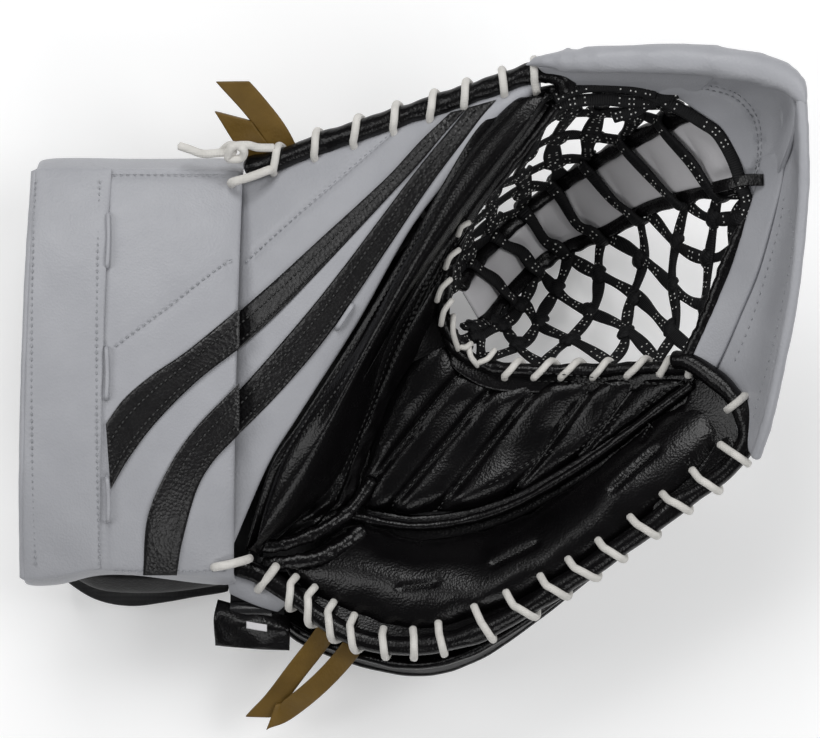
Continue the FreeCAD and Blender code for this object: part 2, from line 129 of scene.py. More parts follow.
def wire(tree, shader, colour, rough, heights):
    """Links colour, roughness and a row of bumps: (height socket, strength, distance in metres)."""
    tree.links.new(colour, shader.inputs["Base Color"])
    tree.links.new(rough, shader.inputs["Roughness"])
    last = None
    for socket, strength, distance in heights:
        bump = add(tree, "ShaderNodeBump", Strength=strength, Distance=distance)
        tree.links.new(socket, bump.inputs["Height"])
        if last:
            tree.links.new(last.outputs["Normal"], bump.inputs["Normal"])
        last = bump
    tree.links.new(last.outputs["Normal"], shader.inputs["Normal"])


def leather(name, low, high, rough, grain, crease, gloss, cell=900):
    """Coated leather: fine pebble grain, soft creases, uneven colour and gloss."""
    mat, tree, shader, coords = new_material(name)
    pebble = add(tree, "ShaderNodeTexVoronoi", Scale=cell, feature="F1")
    tree.links.new(coords, pebble.inputs["Vector"])
    soft = noise(tree, coords, 45, 5)
    shader.inputs["Specular IOR Level"].default_value = gloss
    wire(tree, shader, mix_colour(tree, soft, low, high), stretch(tree, noise(tree, coords, 120), *rough),
         [(soft, crease, 0.0012), (pebble.outputs["Distance"], grain, 0.00035),
          (noise(tree, coords, 1400, 3), grain * 0.5, 0.0002)])
    return mat


def woven(name, low, high, scale, rough, sheen):
    """Woven or braided textile: crossed bands over a fuzzy noise."""
    mat, tree, shader, coords = new_material(name)
    soft = noise(tree, coords, 160)
    bands = []
    for way in "XY":
        band = add(tree, "ShaderNodeTexWave", Scale=scale / 6, Distortion=0.6, bands_direction=way)
        tree.links.new(coords, band.inputs["Vector"])
        bands.append((band.outputs["Fac"], 0.3, 0.0003))
    shader.inputs["Sheen Weight"].default_value = sheen
    wire(tree, shader, mix_colour(tree, soft, low, high), stretch(tree, soft, rough - 0.1, rough + 0.1),
         [*bands, (soft, 0.3, 0.0004)])
    return mat


DOT_PITCH = 7.0      # mm from one pair of tracer dots to the next, along the lace
DOT_PAIR = 0.16      # of the pitch, from the pair's middle to each dot
DOT_ROW = 0.2        # of the width, from the lace's middle to each row
DOT_LONG, DOT_WIDE = 0.05, 0.055


def tracer_lace(name):
    """Flat black lace: braid ribs along it and paired light tracer dots, laid out on the lace's own UV."""
    mat, tree, shader, coords = new_material(name)
    uv = tree.nodes.new("ShaderNodeUVMap")
    uv.uv_map = "lace"
    split = tree.nodes.new("ShaderNodeSeparateXYZ")
    tree.links.new(uv.outputs["UV"], split.inputs[0])
    along, across = split.outputs["X"], split.outputs["Y"]

    def calc(operation, a, b=None):
        node = tree.nodes.new("ShaderNodeMath")
        node.operation = operation
        for socket, value in zip(node.inputs, (a, b)):
            if isinstance(value, (int, float)):
                socket.default_value = value
            elif value is not None:
                tree.links.new(value, socket)
        return node.outputs[0]

    def near_pair(value, shift, reach):
        """1 within reach of 0.5 - shift and of 0.5 + shift."""
        gap = calc("SUBTRACT", calc("ABSOLUTE", calc("SUBTRACT", value, 0.5)), shift)
        return calc("LESS_THAN", calc("ABSOLUTE", gap), reach)

    shown = calc("GREATER_THAN", calc("SINE", calc("MULTIPLY", along, 0.19)), -0.25)
    period = calc("FRACT", calc("MULTIPLY", along, 1 / DOT_PITCH))
    dot = calc("MULTIPLY", near_pair(period, DOT_PAIR, DOT_LONG), near_pair(across, DOT_ROW, DOT_WIDE))
    paint = tree.nodes.new("ShaderNodeMix")
    paint.data_type = "RGBA"
    tree.links.new(calc("MULTIPLY", dot, shown), paint.inputs["Factor"])
    soft = noise(tree, coords, 300)
    tree.links.new(mix_colour(tree, soft, (0.0025, 0.0025, 0.003), (0.008, 0.008, 0.009)), paint.inputs["A"])
    paint.inputs["B"].default_value = (0.62, 0.62, 0.6, 1)
    shader.inputs["Specular IOR Level"].default_value = 0.2
    ribs = calc("SINE", calc("MULTIPLY", along, 5.5))
    wire(tree, shader, paint.outputs["Result"], stretch(tree, soft, 0.5, 0.7),
         [(ribs, 0.35, 0.0003), (soft, 0.3, 0.0003)])
    return mat


def moulded(name, colour, rough):
    mat, tree, shader, coords = new_material(name)
    soft = noise(tree, coords, 220)
    low = tuple(c * 0.8 for c in colour)
    wire(tree, shader, mix_colour(tree, soft, low, colour), stretch(tree, soft, rough - 0.06, rough + 0.08),
         [(soft, 0.15, 0.0002)])
    return mat


MATS = {
    "white": leather("white_leather", (0.365, 0.37, 0.395), (0.4, 0.405, 0.43), (0.36, 0.48), 0.3, 0.38, 0.3),
    "black": leather("black_leather", (0.0015, 0.0013, 0.0016), (0.0034, 0.003, 0.0034), (0.2, 0.32),
                     0.3, 0.3, 0.26),
    "stripe": leather("stripe_leather", (0.0018, 0.0016, 0.002), (0.005, 0.0045, 0.005), (0.28, 0.44),
                      0.6, 0.5, 0.45, 600),
    "shell": leather("shell_nylon", (0.0015, 0.0015, 0.0018), (0.004, 0.004, 0.0045), (0.45, 0.6),
                     0.4, 0.4, 0.2),
    # The stem's white leather made paler than white_leather: painted light that offsets the shade deep in the
    # pocket. The small ring strap patch uses the same colour.
    "pale_and_painted_light": leather("grey_leather", (0.57, 0.56, 0.575), (0.63, 0.62, 0.635), (0.36, 0.5), 0.15, 0.3, 0.3),
    "lace": woven("white_lace", (0.60, 0.585, 0.55), (0.72, 0.70, 0.665), 2600, 0.6, 0.1),
    "net": tracer_lace("net_lace"),
    "thong": leather("tan_thong", (0.12, 0.069, 0.013), (0.175, 0.103, 0.021), (0.4, 0.55),
                     0.3, 0.5, 0.25, 700),
    "lining": woven("lining", (0.010, 0.010, 0.011), (0.024, 0.024, 0.026), 900, 0.85, 0.3),
    "webbing": woven("webbing", (0.012, 0.012, 0.013), (0.03, 0.03, 0.032), 1400, 0.75, 0.2),
    "board": moulded("stiff_board", (0.03, 0.03, 0.032), 0.45),
    "plastic": moulded("ring_plastic", (0.014, 0.014, 0.015), 0.25),
    "thread_white": woven("thread_grey", (0.30, 0.31, 0.33), (0.36, 0.37, 0.39), 3000, 0.6, 0.0),
    "thread_black": woven("thread_black", (0.02, 0.02, 0.02), (0.05, 0.05, 0.05), 3000, 0.5, 0.0),
}


# ---------------------------------------------------------------- curves and surfaces

def pts(*rows):
    return np.array(rows, float)


def run(points, t):
    """Points at fractions t of a smooth run through evenly counted points."""
    p = np.asarray(points, float)
    t = np.atleast_1d(np.asarray(t, float))
    last = len(p) - 1
    s = np.clip(t, 0, 1) * last
    i = np.minimum(s.astype(int), last - 1)
    f = (s - i)[:, None]
    ext = np.vstack((2 * p[0] - p[1], p, 2 * p[-1] - p[-2]))
    p0, p1, p2, p3 = ext[i], ext[i + 1], ext[i + 2], ext[i + 3]
    return 0.5 * (2 * p1 + (p2 - p0) * f + (2 * p0 - 5 * p1 + 4 * p2 - p3) * f ** 2
                  + (3 * p1 - p0 - 3 * p2 + p3) * f ** 3)


def smooth(path, count):
    return run(path, np.linspace(0, 1, count))


def lengths(line):
    """Length of the line up to each of its points."""
    return np.concatenate(([0], np.cumsum(np.linalg.norm(np.diff(line, axis=0), axis=1))))


def unit(vectors, least=1e-9):
    return vectors / np.maximum(np.linalg.norm(vectors, axis=-1, keepdims=True), least)


def bowed(a, b, *bow):
    """Three rails: two edges and a middle line moved by bow."""
    return [a, (a + b) / 2 + np.array(bow), b]


def ripple(high, along, across):
    """Relief of soft unevenness, for a pillow's top."""
    return lambda grid, u, v: high * np.sin(u * along)[:, None] * np.sin(v * across)[None, :]


def patch(rails, us, vs):
    """Point grid (len(us), len(vs), 3) on the surface carried by the rails."""
    lines = np.stack([run(r, us) for r in rails])
    return np.stack([run(lines[:, k], vs) for k in range(len(us))])


def normals(grid):
    n = unit(np.cross(np.gradient(grid, axis=0), np.gradient(grid, axis=1)))
    return n if n[..., 2].sum() >= 0 else -n


def spaced(count, span=(0.0, 1.0)):
    """Fractions over the span, closer together towards both ends."""
    s = np.linspace(0, 1, count)
    s = 0.25 * s + 0.75 * (0.5 - 0.5 * np.cos(math.pi * s))
    return span[0] + (span[1] - span[0]) * s


def mesh_object(name, verts, faces, mat, uv=None):
    data = bpy.data.meshes.new(name)
    data.from_pydata(((np.asarray(verts) + DATUM) * MM).tolist(), [], faces)
    data.update()
    data.materials.append(MATS[mat])
    data.polygons.foreach_set("use_smooth", [True] * len(data.polygons))
    if uv is not None:
        layer = data.uv_layers.new(name="lace")
        index = np.zeros(len(data.loops), int)
        data.loops.foreach_get("vertex_index", index)
        layer.data.foreach_set("uv", np.asarray(uv, float)[index].ravel())
    obj = bpy.data.objects.new(name, data)
    bpy.context.scene.collection.objects.link(obj)
    return obj


def pillow(name, rails, thick, mat, nu=60, nv=30, us=(0, 1), lift=0.0, power=5.0, top=None, crown=0.0):
    """Closed padded sheet. Its upper face lies lift above the rails; top(grid, u, v) adds relief."""
    u = spaced(nu, us)
    v = spaced(nv)
    grid = patch(rails, u, v)
    n = normals(grid)
    a = np.abs(2 * (u - us[0]) / (us[1] - us[0]) - 1)[:, None]
    b = np.abs(2 * v - 1)[None, :]
    edge = np.clip((1 - a ** power) * (1 - b ** power), 0, 1) ** (1 / 2.2)
    middle = grid + n * (lift - thick / 2)
    rise = edge * thick / 2 + crown * (1 - a ** 2) * (1 - b ** 2)
    if top is not None:
        rise = rise + top(grid, u, v) * edge
    upper = middle + n * rise[..., None]
    lower = middle - n * (edge * thick / 2)[..., None]
    return closed_sheet(name, upper, lower, mat)


def closed_sheet(name, upper, lower, mat):
    nu, nv = upper.shape[:2]
    verts = np.vstack((upper.reshape(-1, 3), lower.reshape(-1, 3)))
    off = nu * nv
    faces = []
    for i in range(nu - 1):
        for j in range(nv - 1):
            p = i * nv + j
            faces.append((p, p + nv, p + nv + 1, p + 1))
            q = p + off
            faces.append((q, q + 1, q + nv + 1, q + nv))
    for i in range(nu - 1):
        p, q = i * nv, (i + 1) * nv
        faces.append((p, p + off, q + off, q))
        p, q = i * nv + nv - 1, (i + 1) * nv + nv - 1
        faces.append((p, q, q + off, p + off))
    for j in range(nv - 1):
        faces.append((j, j + 1, j + 1 + off, j + off))
        p = (nu - 1) * nv + j
        faces.append((p, p + off, p + 1 + off, p + 1))
    return mesh_object(name, verts, faces, mat)


def frames(line, hint=UP):
    """Tangent, side and up unit vectors along a line of points."""
    tangent = unit(np.gradient(line, axis=0))
    side = unit(np.cross(tangent, np.broadcast_to(hint, line.shape)), 1e-6)
    return tangent, side, np.cross(side, tangent)


def swept(line, wide, high, hint=UP, ring=12, ends=0.6, square=2.0, slant=0.0):
    """Vertices, faces and lace UVs of a tube; wide and high are half sizes, square flattens its sides."""
    count = len(line)
    tangent, side, up = frames(line, hint)
    length = lengths(line)
    wide = np.broadcast_to(wide, count).astype(float)
    high = np.broadcast_to(high, count).astype(float)
    reach = np.maximum(high * ends, 1e-3)
    close = np.minimum(length, length[-1] - length)
    cap = np.sqrt(np.clip(1 - np.clip(1 - close / reach, 0, 1) ** 2, 0.02, 1)) if ends else np.ones(count)
    turn = np.linspace(0, 2 * math.pi, ring, endpoint=False)
    c, s = np.cos(turn), np.sin(turn)
    c = np.sign(c) * np.abs(c) ** (2 / square)
    s = np.sign(s) * np.abs(s) ** (2 / square)
    offset = (side[:, None, :] * (c[None, :, None] * (wide * cap)[:, None, None])
              + up[:, None, :] * (s[None, :, None] * (high * cap)[:, None, None]))
    cut = np.clip(length / length[-1] * 4 - 3, 0, 1) * slant
    offset = offset + tangent[:, None, :] * (c[None, :, None] * (wide * cut)[:, None, None])
    verts = (line[:, None, :] + offset).reshape(-1, 3)
    uv = np.stack((np.repeat(length, ring), np.tile((c + 1) / 2, count)), 1)
    faces = []
    for i in range(count - 1):
        for k in range(ring):
            m = (k + 1) % ring
            faces.append((i * ring + k, i * ring + m, (i + 1) * ring + m, (i + 1) * ring + k))
    faces.append(tuple(range(ring))[::-1])
    faces.append(tuple((count - 1) * ring + k for k in range(ring)))
    return verts, faces, uv


def tubes(name, parts, mat, shift=0.0):
    """One piece made of swept tubes. The net's laces keep their UVs, moved by shift along the lace."""
    verts, faces, uvs, base = [], [], [], 0
    for v, f, uv in parts:
        verts.append(v)
        faces.extend(tuple(i + base for i in face) for face in f)
        uvs.append(uv)
        base += len(v)
    uv = np.vstack(uvs) + np.array((shift, 0)) if mat == "net" else None
    return mesh_object(name, np.vstack(verts), faces, mat, uv=uv)


def lace(name, path, wide, high, count=40, mat="lace", **form):
    """A cord or lace along a smooth path."""
    return tubes(name, [swept(smooth(path, count), wide, high, **form)], mat)


def rolled(name, points, radius, mat="black", count=160, wobble=0.25, high=None):
    """Rolled leather edge or piping with small pulls along it."""
    t = np.linspace(0, 1, count)
    dents = sum(np.sin(t * k + RNG.uniform(0, 6)) for k in (23, 41, 67, 101)) / 4
    wide = radius * (1 + wobble * 0.25 * dents)
    tall = (high or radius) * (1 - wobble * 0.2 * dents)
    return tubes(name, [swept(run(points, t), wide, tall, ring=20)], mat)


def stitch_row(name, points, mat="thread_white", pitch=3.2, length=2.0, radius=0.32):
    """A row of short raised stitches that follows a line of points."""
    dense = smooth(points, 400)
    reach = lengths(dense)
    parts = []
    start = pitch / 2
    while start + length < reach[-1]:
        at = start + length * np.array((0, 0.25, 0.5, 0.75, 1.0))
        line = np.stack([np.interp(at, reach, dense[:, k]) for k in range(3)], 1)
        line[:, 2] += STITCH_ARCH
        parts.append(swept(line, radius, radius, ring=6))
        start += pitch
    return tubes(name, parts, mat)


def ride(obj, body, *nodes):
    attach(obj, body)
    if nodes:
        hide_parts(*nodes)
    return obj


def groove(grid, lines, depth, width):
    """Relief of sewn channels: a dip along each (x, y) segment."""
    out = np.zeros(grid.shape[:2])
    for a, b in lines:
        a, b = np.array(a, float), np.array(b, float)
        d = b - a
        rel = grid[..., :2] - a
        t = np.clip((rel @ d) / (d @ d), 0, 1)
        gap = np.linalg.norm(rel - t[..., None] * d, axis=2)
        out -= depth * np.exp(-(gap / width) ** 2)
    return out


def drape(obj, pairs, lift=0.0):
    """A smooth line through (x, y) pairs, dropped from above on to a finished piece."""
    faces = [tuple(p.vertices) for p in obj.data.polygons]
    tree = BVHTree.FromPolygons([v.co for v in obj.data.vertices], faces)
    out = []
    for x, y in smooth(pairs, 60):
        start = (np.array((x, y, DROP_FROM)) + DATUM) * MM
        hit = tree.ray_cast(Vector(start), Vector((0, 0, -1)))[0] or tree.find_nearest(Vector(start))[0]
        out.append(np.array(hit) / MM - DATUM)
    return np.array(out) + UP * lift


def vertices(obj):
    co = np.empty(len(obj.data.vertices) * 3)
    obj.data.vertices.foreach_get("co", co)
    return co.reshape(-1, 3) / MM - DATUM


def set_vertices(obj, co):
    obj.data.vertices.foreach_set("co", ((co + DATUM) * MM).ravel())
    obj.data.update()


def vertex_normals(obj):
    n = np.empty(len(obj.data.vertices) * 3)
    obj.data.vertex_normals.foreach_get("vector", n)
    return n.reshape(-1, 3)


def press(obj, lines, depth, width):
    """Presses sewn channels along (x, y) segments into the upper side of a piece."""
    co, n = vertices(obj), vertex_normals(obj)
    push = groove(co[:, None, :], lines, depth, width)[:, 0] * (n[:, 2] > 0.15)
    set_vertices(obj, co + n * push[:, None])


def apply(obj, modifier):
    """Makes a modifier's result the piece's own mesh."""
    graph = bpy.context.evaluated_depsgraph_get()
    data = bpy.data.meshes.new_from_object(obj.evaluated_get(graph))
    obj.modifiers.remove(modifier)
    obj.data = data
    data.polygons.foreach_set("use_smooth", [True] * len(data.polygons))


def changed(obj, kind, **settings):
    """Runs one modifier with its settings."""
    modifier = obj.modifiers.new(kind.lower(), kind)
    for key, value in settings.items():
        setattr(modifier, key, value)
    apply(obj, modifier)


CLOTH_FRAMES = 20
CLOTH = {"quality": 5, "mass": 0.3, "tension_stiffness": 12, "compression_stiffness": 12,
         "shear_stiffness": 4, "bending_stiffness": 0.6, "use_pressure": True, "uniform_pressure_force": 4.0}


def puff(obj, cap, settle):
    """Lets the stuffing push a padded piece out: a short cloth run that stays within cap of its cut shape."""
    changed(obj, "REMESH", mode="VOXEL", voxel_size=VOXEL * MM)
    rest = vertices(obj)
    cloth = obj.modifiers.new("cloth", "CLOTH")
    for key, value in CLOTH.items():
        setattr(cloth.settings, key, value)
    cloth.settings.effector_weights.gravity = 0
    cloth.point_cache.frame_start = 1
    cloth.point_cache.frame_end = CLOTH_FRAMES
    for frame_number in range(1, CLOTH_FRAMES + 1):
        bpy.context.scene.frame_set(frame_number)
    apply(obj, cloth)
    move = vertices(obj) - rest
    far = np.linalg.norm(move, axis=1, keepdims=True)
    set_vertices(obj, rest + move * np.minimum(1, cap / np.maximum(far, 1e-6)))
    changed(obj, "SMOOTH", factor=0.5, iterations=settle)
    changed(obj, "SUBSURF", levels=1)


def strap(name, points, across, wide, thick, mat, slant=0.0):
    """Flat cut strap whose width lies along across, with a slanted end."""
    line = smooth(points, 60)
    hint = np.cross(np.asarray(across, float), np.gradient(line, axis=0))
    verts, faces, uv = swept(line, wide / 2, thick / 2, hint, 16, 0.0, 6.0, slant)
    return mesh_object(name, verts, faces, mat, uv=uv)


def over_fold(obj):
    """Bakes the piece's placement into its mesh; the piece rides on no body and does not bend at the fold."""
    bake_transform(obj)


# ---------------------------------------------------------------- camera, light and floor

CAMERA_HEIGHT = 1890.0
VIEW_CENTRE = (-2.4, 0.5)
LENS, SENSOR = 167.5, 36
SKY = 0.09
LAMP_SIZE = 700
LAMPS = (("north", (-200, 950, 1200), 10.0), ("east", (1050, 200, 1150), 8.4),
         ("west", (-1050, 100, 1100), 5.4), ("south", (100, -1100, 1050), 4.4))
LAMP_AIM = Vector((0, 0, 0.06))
FLOOR_GLOW = 0.26
FLOOR_REACH = 4.0
FLOOR_DROP = 0.0004


def in_scene(name, data, place=None):
    obj = bpy.data.objects.new(name, data)
    bpy.context.scene.collection.objects.link(obj)
    if place is not None:
        obj.location = (np.array(place) + DATUM) * MM
    return obj


def studio():
    camera = bpy.data.cameras.new("camera")
    camera.lens = LENS
    camera.sensor_width = SENSOR
    bpy.context.scene.camera = in_scene("camera", camera, (*VIEW_CENTRE, CAMERA_HEIGHT))
    bpy.context.scene.view_settings.view_transform = "Standard"
    world = bpy.data.worlds.new("world")
    bpy.context.scene.world = world
    world.use_nodes = True
    sky = world.node_tree.nodes["Background"]
    sky.inputs["Color"].default_value = (0.95, 0.97, 1.0, 1)
    sky.inputs["Strength"].default_value = SKY
    for name, place, power in LAMPS:
        data = bpy.data.lights.new(name, "AREA")
        data.energy = power
        data.size = LAMP_SIZE * MM
        lamp = in_scene(name, data, place)
        lamp.rotation_mode = "QUATERNION"
        lamp.rotation_quaternion = (LAMP_AIM - lamp.location).to_track_quat("-Z", "Y")
    build_floor()


def build_floor():
    mat, tree, shader, coords = new_material("floor")
    colour = mix_colour(tree, noise(tree, coords, 3), (0.84, 0.84, 0.84), (0.86, 0.86, 0.86))
    tree.links.new(colour, shader.inputs["Base Color"])
    shader.inputs["Roughness"].default_value = 0.9
    shader.inputs["Emission Color"].default_value = (1, 1, 1, 1)
    shader.inputs["Emission Strength"].default_value = FLOOR_GLOW
    data = bpy.data.meshes.new("floor")
    corners = [(x * FLOOR_REACH, y * FLOOR_REACH, 0) for x, y in ((-1, -1), (1, -1), (1, 1), (-1, 1))]
    data.from_pydata(corners, [], [(0, 1, 2, 3)])
    data.materials.append(mat)
    floor = in_scene("floor", data)
    floor.location.z = CAD_BOX[0].z - FLOOR_DROP


# ---------------------------------------------------------------- cuff

def cuff_height(x, y):
    s = y / 100
    return 103 - 17 * s ** 2 - 6 * s ** 4 - 4 * ((x + 150) / 64) ** 2


def on_cuff(pairs, lift=0.0):
    return np.array([(x, y, cuff_height(x, y) + lift) for x, y in pairs])


def thumb_height(x, y):
    top = 117.2 + 0.29 * x
    seam = 64 + 1.45 * x - 0.0035 * x ** 2
    centre = (top + seam) / 2
    half = max((top - seam) / 2, 6)
    crown = 4 + 9 * ((47 - x) / 127) ** 2
    return 111 + 0.245 * x - 0.0004 * x ** 2 - crown * ((y - centre) / half) ** 2


def on_thumb(pairs, lift=0.0):
    return np.array([(x, y, thumb_height(x, y) + lift) for x, y in pairs])


CUFF_A_LOW = ((-143, -56), (-134, -41), (-121, -24), (-102, -5), (-82.6, 10))
CUFF_A_TOP = ((-145, -25), (-136, -13), (-123, -2), (-107, 9), (-82.6, 29))
CUFF_B_LOW = ((-113, -97), (-110, -81), (-103, -57), (-95, -43), (-82.6, -30))
CUFF_B_TOP = ((-129, -97), (-126, -69), (-116, -46), (-103, -27), (-82.6, -6))
THUMB_A_LOW = ((-87, 6), (-66, 25), (-45, 46), (-26, 66), (-11, 82), (2, 96), (24, 121.5))
THUMB_A_TOP = ((-87, 24), (-66, 42), (-45, 61), (-26, 78), (-11, 92), (4, 108), (17, 120))
THUMB_B_LOW = ((-87, -34), (-66, -13), (-45, 11), (-29, 33), (-12, 58), (10, 90), (38, 125.5))
THUMB_B_TOP = ((-87, -14), (-68, 7), (-49, 29), (-33, 49), (-17, 70), (3, 96), (25, 122))


def stripe(body, label, low, top):
    """Inlaid stripe between two edges, with a stitch row along each."""
    panel = body.split("_")[0]
    name = "%s_stripe_leather_%s" % (panel, label)
    piece = pillow(name, [low, top], 2.2, "stripe", 90, 16, lift=2.0, power=8)
    ride(piece, body, "%s_stripe_%s" % (panel, label))
    for edge, inset in (("low", 0.2), ("top", 0.66)):
        path = smooth(low, 24) * (1 - inset) + smooth(top, 24) * inset + UP * 2.3
        ride(stitch_row(name + "_stitch_" + edge, path, "thread_black", 2.8, 1.9, 0.42), body)


def cuff_point(t, y, lift=0.0):
    """Point at fraction t across the cuff; the cuff's sides slant and its heel edge waves."""
    side = (y + 99) / 196
    left = -186.0 + 6.0 * side
    right = -86.0 + 4.5 * side
    x = left + (right - left) * t
    heel = np.interp(t, (0, 0.18, 0.38, 0.55, 0.75, 1), (1.015, 0.995, 0.95, 0.965, 0.985, 1.01))
    y = y * heel if y < 0 else y
    return (x, y, cuff_height(x, y) + lift)


# The cuff from its heel edge over the top to its other edge: (y, how far out, how far down).
CUFF_SECTION = ((-99, 2.5, 24), (-99, 3.4, 12), (-99, 1.0, 2.5), (-94, 0, 0), (-66, 0, 0), (-33, 0, 0),
                (0, 0, 0), (33, 0, 0), (66, 0, 0), (91, 0, 0), (95, 1.0, 1.5), (98, 3.0, 12), (98, 3.6, 24))
ACROSS = (-94, -50, 0, 50, 91)
CUFF_ROWS = (("band_stitch", [(-149, y) for y in ACROSS], 2.1),
             ("mouth_stitch", [(-179.5, y) for y in ACROSS], 2.1),
             ("top_stitch", [(x, 92.6) for x in (-180, -150, -120, -88)], 0.5),
             ("heel_stitch", [(x, -95.5) for x in (-144, -130, -110, -88)], 0.2),
             ("cuff_seam", [(-142, 10), (-115, 30.5), (-89, 50.5), (-84, 51.5)], 0.3))


def build_cuff():
    rails = [[cuff_point(t, y + math.copysign(out, y), -drop) for t in np.linspace(0, 1, 7)]
             for y, out, drop in CUFF_SECTION]

    def relief(grid, u, v):
        dents = groove(grid, [((-146, -93), (-146, 92))], 0.8, 1.2)
        dents += groove(grid, [((-142, 10), (-88, 51)), ((-88, 51), (-84, 51))], 0.7, 1.4)
        dents += groove(grid, [((-180, 93), (-86, 92))], 0.9, 1.5)
        return dents + ripple(0.5, 9, 23)(grid, u, v)

    skin = pillow("cuff_skin", rails, 5.0, "white", 90, 150, top=relief, power=14)
    ride(skin, "cuff", "cuff_shell", "cuff_wall_top", "cuff_wall_heel")
    rails = [[cuff_point(t, y) for t in (0.005, 0.13, 0.25, 0.37)] for y in (-98, -60, -20, 20, 60, 95)]
    band = pillow("cuff_band_leather", rails, 2.4, "white", 40, 90, lift=2.2, power=10,
                  top=lambda grid, u, v: 0.25 * np.sin(v * 31)[None, :] * np.cos(u * 7)[:, None])
    ride(band, "cuff", "cuff_band")
    for name, way, lift in CUFF_ROWS:
        ride(stitch_row(name, on_cuff(way, lift)), "cuff")
    edge = np.array([cuff_point(0.0, y, -0.8) for y in (-98, -50, 0, 50, 95)])
    ride(rolled("cuff_edge", edge, 1.9, "white"), "cuff", "cuff_piping")
    stripe("cuff", "a", on_cuff(CUFF_A_LOW), on_cuff(CUFF_A_TOP))
    stripe("cuff", "b", on_cuff(CUFF_B_LOW), on_cuff(CUFF_B_TOP))
    for label, hi, lo in (("a", 74, 48), ("b", 11, -14), ("c", -50, -72)):
        path = on_cuff([(-145, hi), (-144.4, hi - 2), (-144, (hi + lo) / 2), (-144.4, lo + 2), (-145, lo)])
        path[:, 2] += LOOP_ARCH
        ride(lace("band_loop_" + label, path, 1.0, 0.7, 30, "white"), "cuff")


# ---------------------------------------------------------------- thumb side

PAD_CREST = pts((-77, -88, 72), (-56, -55, 86), (-40, -25, 96), (-18, 16, 107), (17, 73, 119),
                (58, 127, 129))
PAD_INNER = pts((-76, -88, 63), (-41, -60, 62), (-23, -25, 69), (-9, 17, 80), (25, 74, 103), (66, 126, 122))
THUMB_EDGE = pts((-81, 95.5, 80), (-63.4, 100, 84), (-44, 107, 90), (-25.6, 112.7, 97), (-8, 118.4, 102),
                 (9, 123.4, 107), (25, 128.5, 112), (40.8, 133.4, 117), (56, 138, 122), (66, 136.5, 123),
                 (71.5, 129, 119))
THUMB_HOLES = pts((-66.8, 92.9), (-46.6, 98.4), (-28.1, 104), (-9.4, 109.7), (7.4, 115), (23.1, 121.3),
                  (41.7, 126.7), (56.4, 128.3))
THUMB_ENDS = pts((-61.5, 106), (-43, 110.2), (-23.3, 117.2), (-6.2, 123.8), (11.6, 129.3), (26, 134.6),
                 (40.8, 140.7), (55.8, 143.8))
THUMB_POCKET = pts((66, 124, 116), (46, 99, 103), (27, 76, 93), (16, 58, 86), (10, 43, 79), (9, 30, 71))
POCKET_WRAPS = (((25, 69, 101), (20.3, 63.6, 98)), ((20.3, 56.3, 97), (14.4, 48.4, 93)),
                ((16.4, 42.4, 92), (10.4, 33.1, 87)), ((17.1, 32.6, 85), (12.4, 21.9, 79)),
                ((18.2, 25.4, 76), (20.5, 10.4, 67)), ((20.5, 11.4, 66), (26.7, 12.6, 66)),
                ((25.7, 11.6, 66), (29.8, 2.4, 63)), ((30, 3.4, 63), (37.9, 9.3, 62)))
PAD_SLIT = ((5.5, 59.5), (11, 69), (15.5, 78), (19, 84))


def build_thumb():
    seam = on_thumb([(-88, -87), (-70, -46), (-55, -22), (-28, 20), (7, 78), (60, 128)])
    top = on_thumb([(-86, 90), (-54, 100), (-26, 109), (2, 118), (27, 126), (58, 135)])
    rails = [seam + (top - seam) * k for k in (0, 0.25, 0.5, 0.75, 1)]
    for r in rails[1:4]:
        r[:, 2] = [thumb_height(x, y) for x, y in r[:, :2]]

    def relief(grid, u, v):
        return groove(grid, [((-76, 55), (-10, 112))], 0.8, 1.4) + ripple(0.4, 11, 9)(grid, u, v)

    skin = pillow("thumb_skin", rails, 4.6, "white", 110, 80, lift=0.3, top=relief, power=16)
    ride(skin, "thumb_side", "thumb_panel")
    ride(stitch_row("thumb_seam", on_thumb([(-81, 49), (-76, 55), (-43, 84), (-10, 112)], 0.5)), "thumb_side")
    stripe("thumb_side", "a", on_thumb(THUMB_A_LOW), on_thumb(THUMB_A_TOP))
    stripe("thumb_side", "b", on_thumb(THUMB_B_LOW), on_thumb(THUMB_B_TOP))
    ride(rolled("thumb_edge_roll", THUMB_EDGE, 5.0, count=260, wobble=0.5), "thumb_side", "thumb_binding")
    whip("thumb_wrap_%d", THUMB_EDGE, THUMB_HOLES, THUMB_ENDS, 4.9, "thumb_side", "thumb_lace")
    build_pad()
    rails = [pts((40, 122, 116), (54, 129, 120), (67, 132, 121)),
             pts((50, 115, 111), (60, 121, 113), (69, 124, 114))]
    ride(pillow("pad_end_tab", rails, PANEL, "black", 30, 16, power=6), "thumb_side")
    ride(rolled("thumb_pocket_edge", THUMB_POCKET, 3.2, wobble=0.8), "thumb_side", "thumb_pocket_binding")
    parts = []
    for wrap in POCKET_WRAPS:
        a, b = pts(*wrap)
        bow = np.cross(b - a, UP)
        bow *= 1.2 / np.linalg.norm(bow)
        arch = np.vstack((a - UP * 4, a + UP * 1.0, (a + b) / 2 + UP * 3.2 + bow, b + UP * 1.0, b - UP * 4))
        parts.append(swept(smooth(arch, 24), 1.35, 1.1))
    ride(tubes("thumb_pocket_wraps", parts, "lace"), "thumb_side", "thumb_pocket_lace")
    loop = on_thumb([(-29, 31), (-30, 29.5), (-33, 25), (-36, 20.5), (-37, 19)])
    loop[:, 2] += np.array((-1, 2.4, 2.8, 2.4, -1))
    ride(lace("thumb_loop_lace", loop, 1.2, 0.9, 24, "white"), "thumb_side")


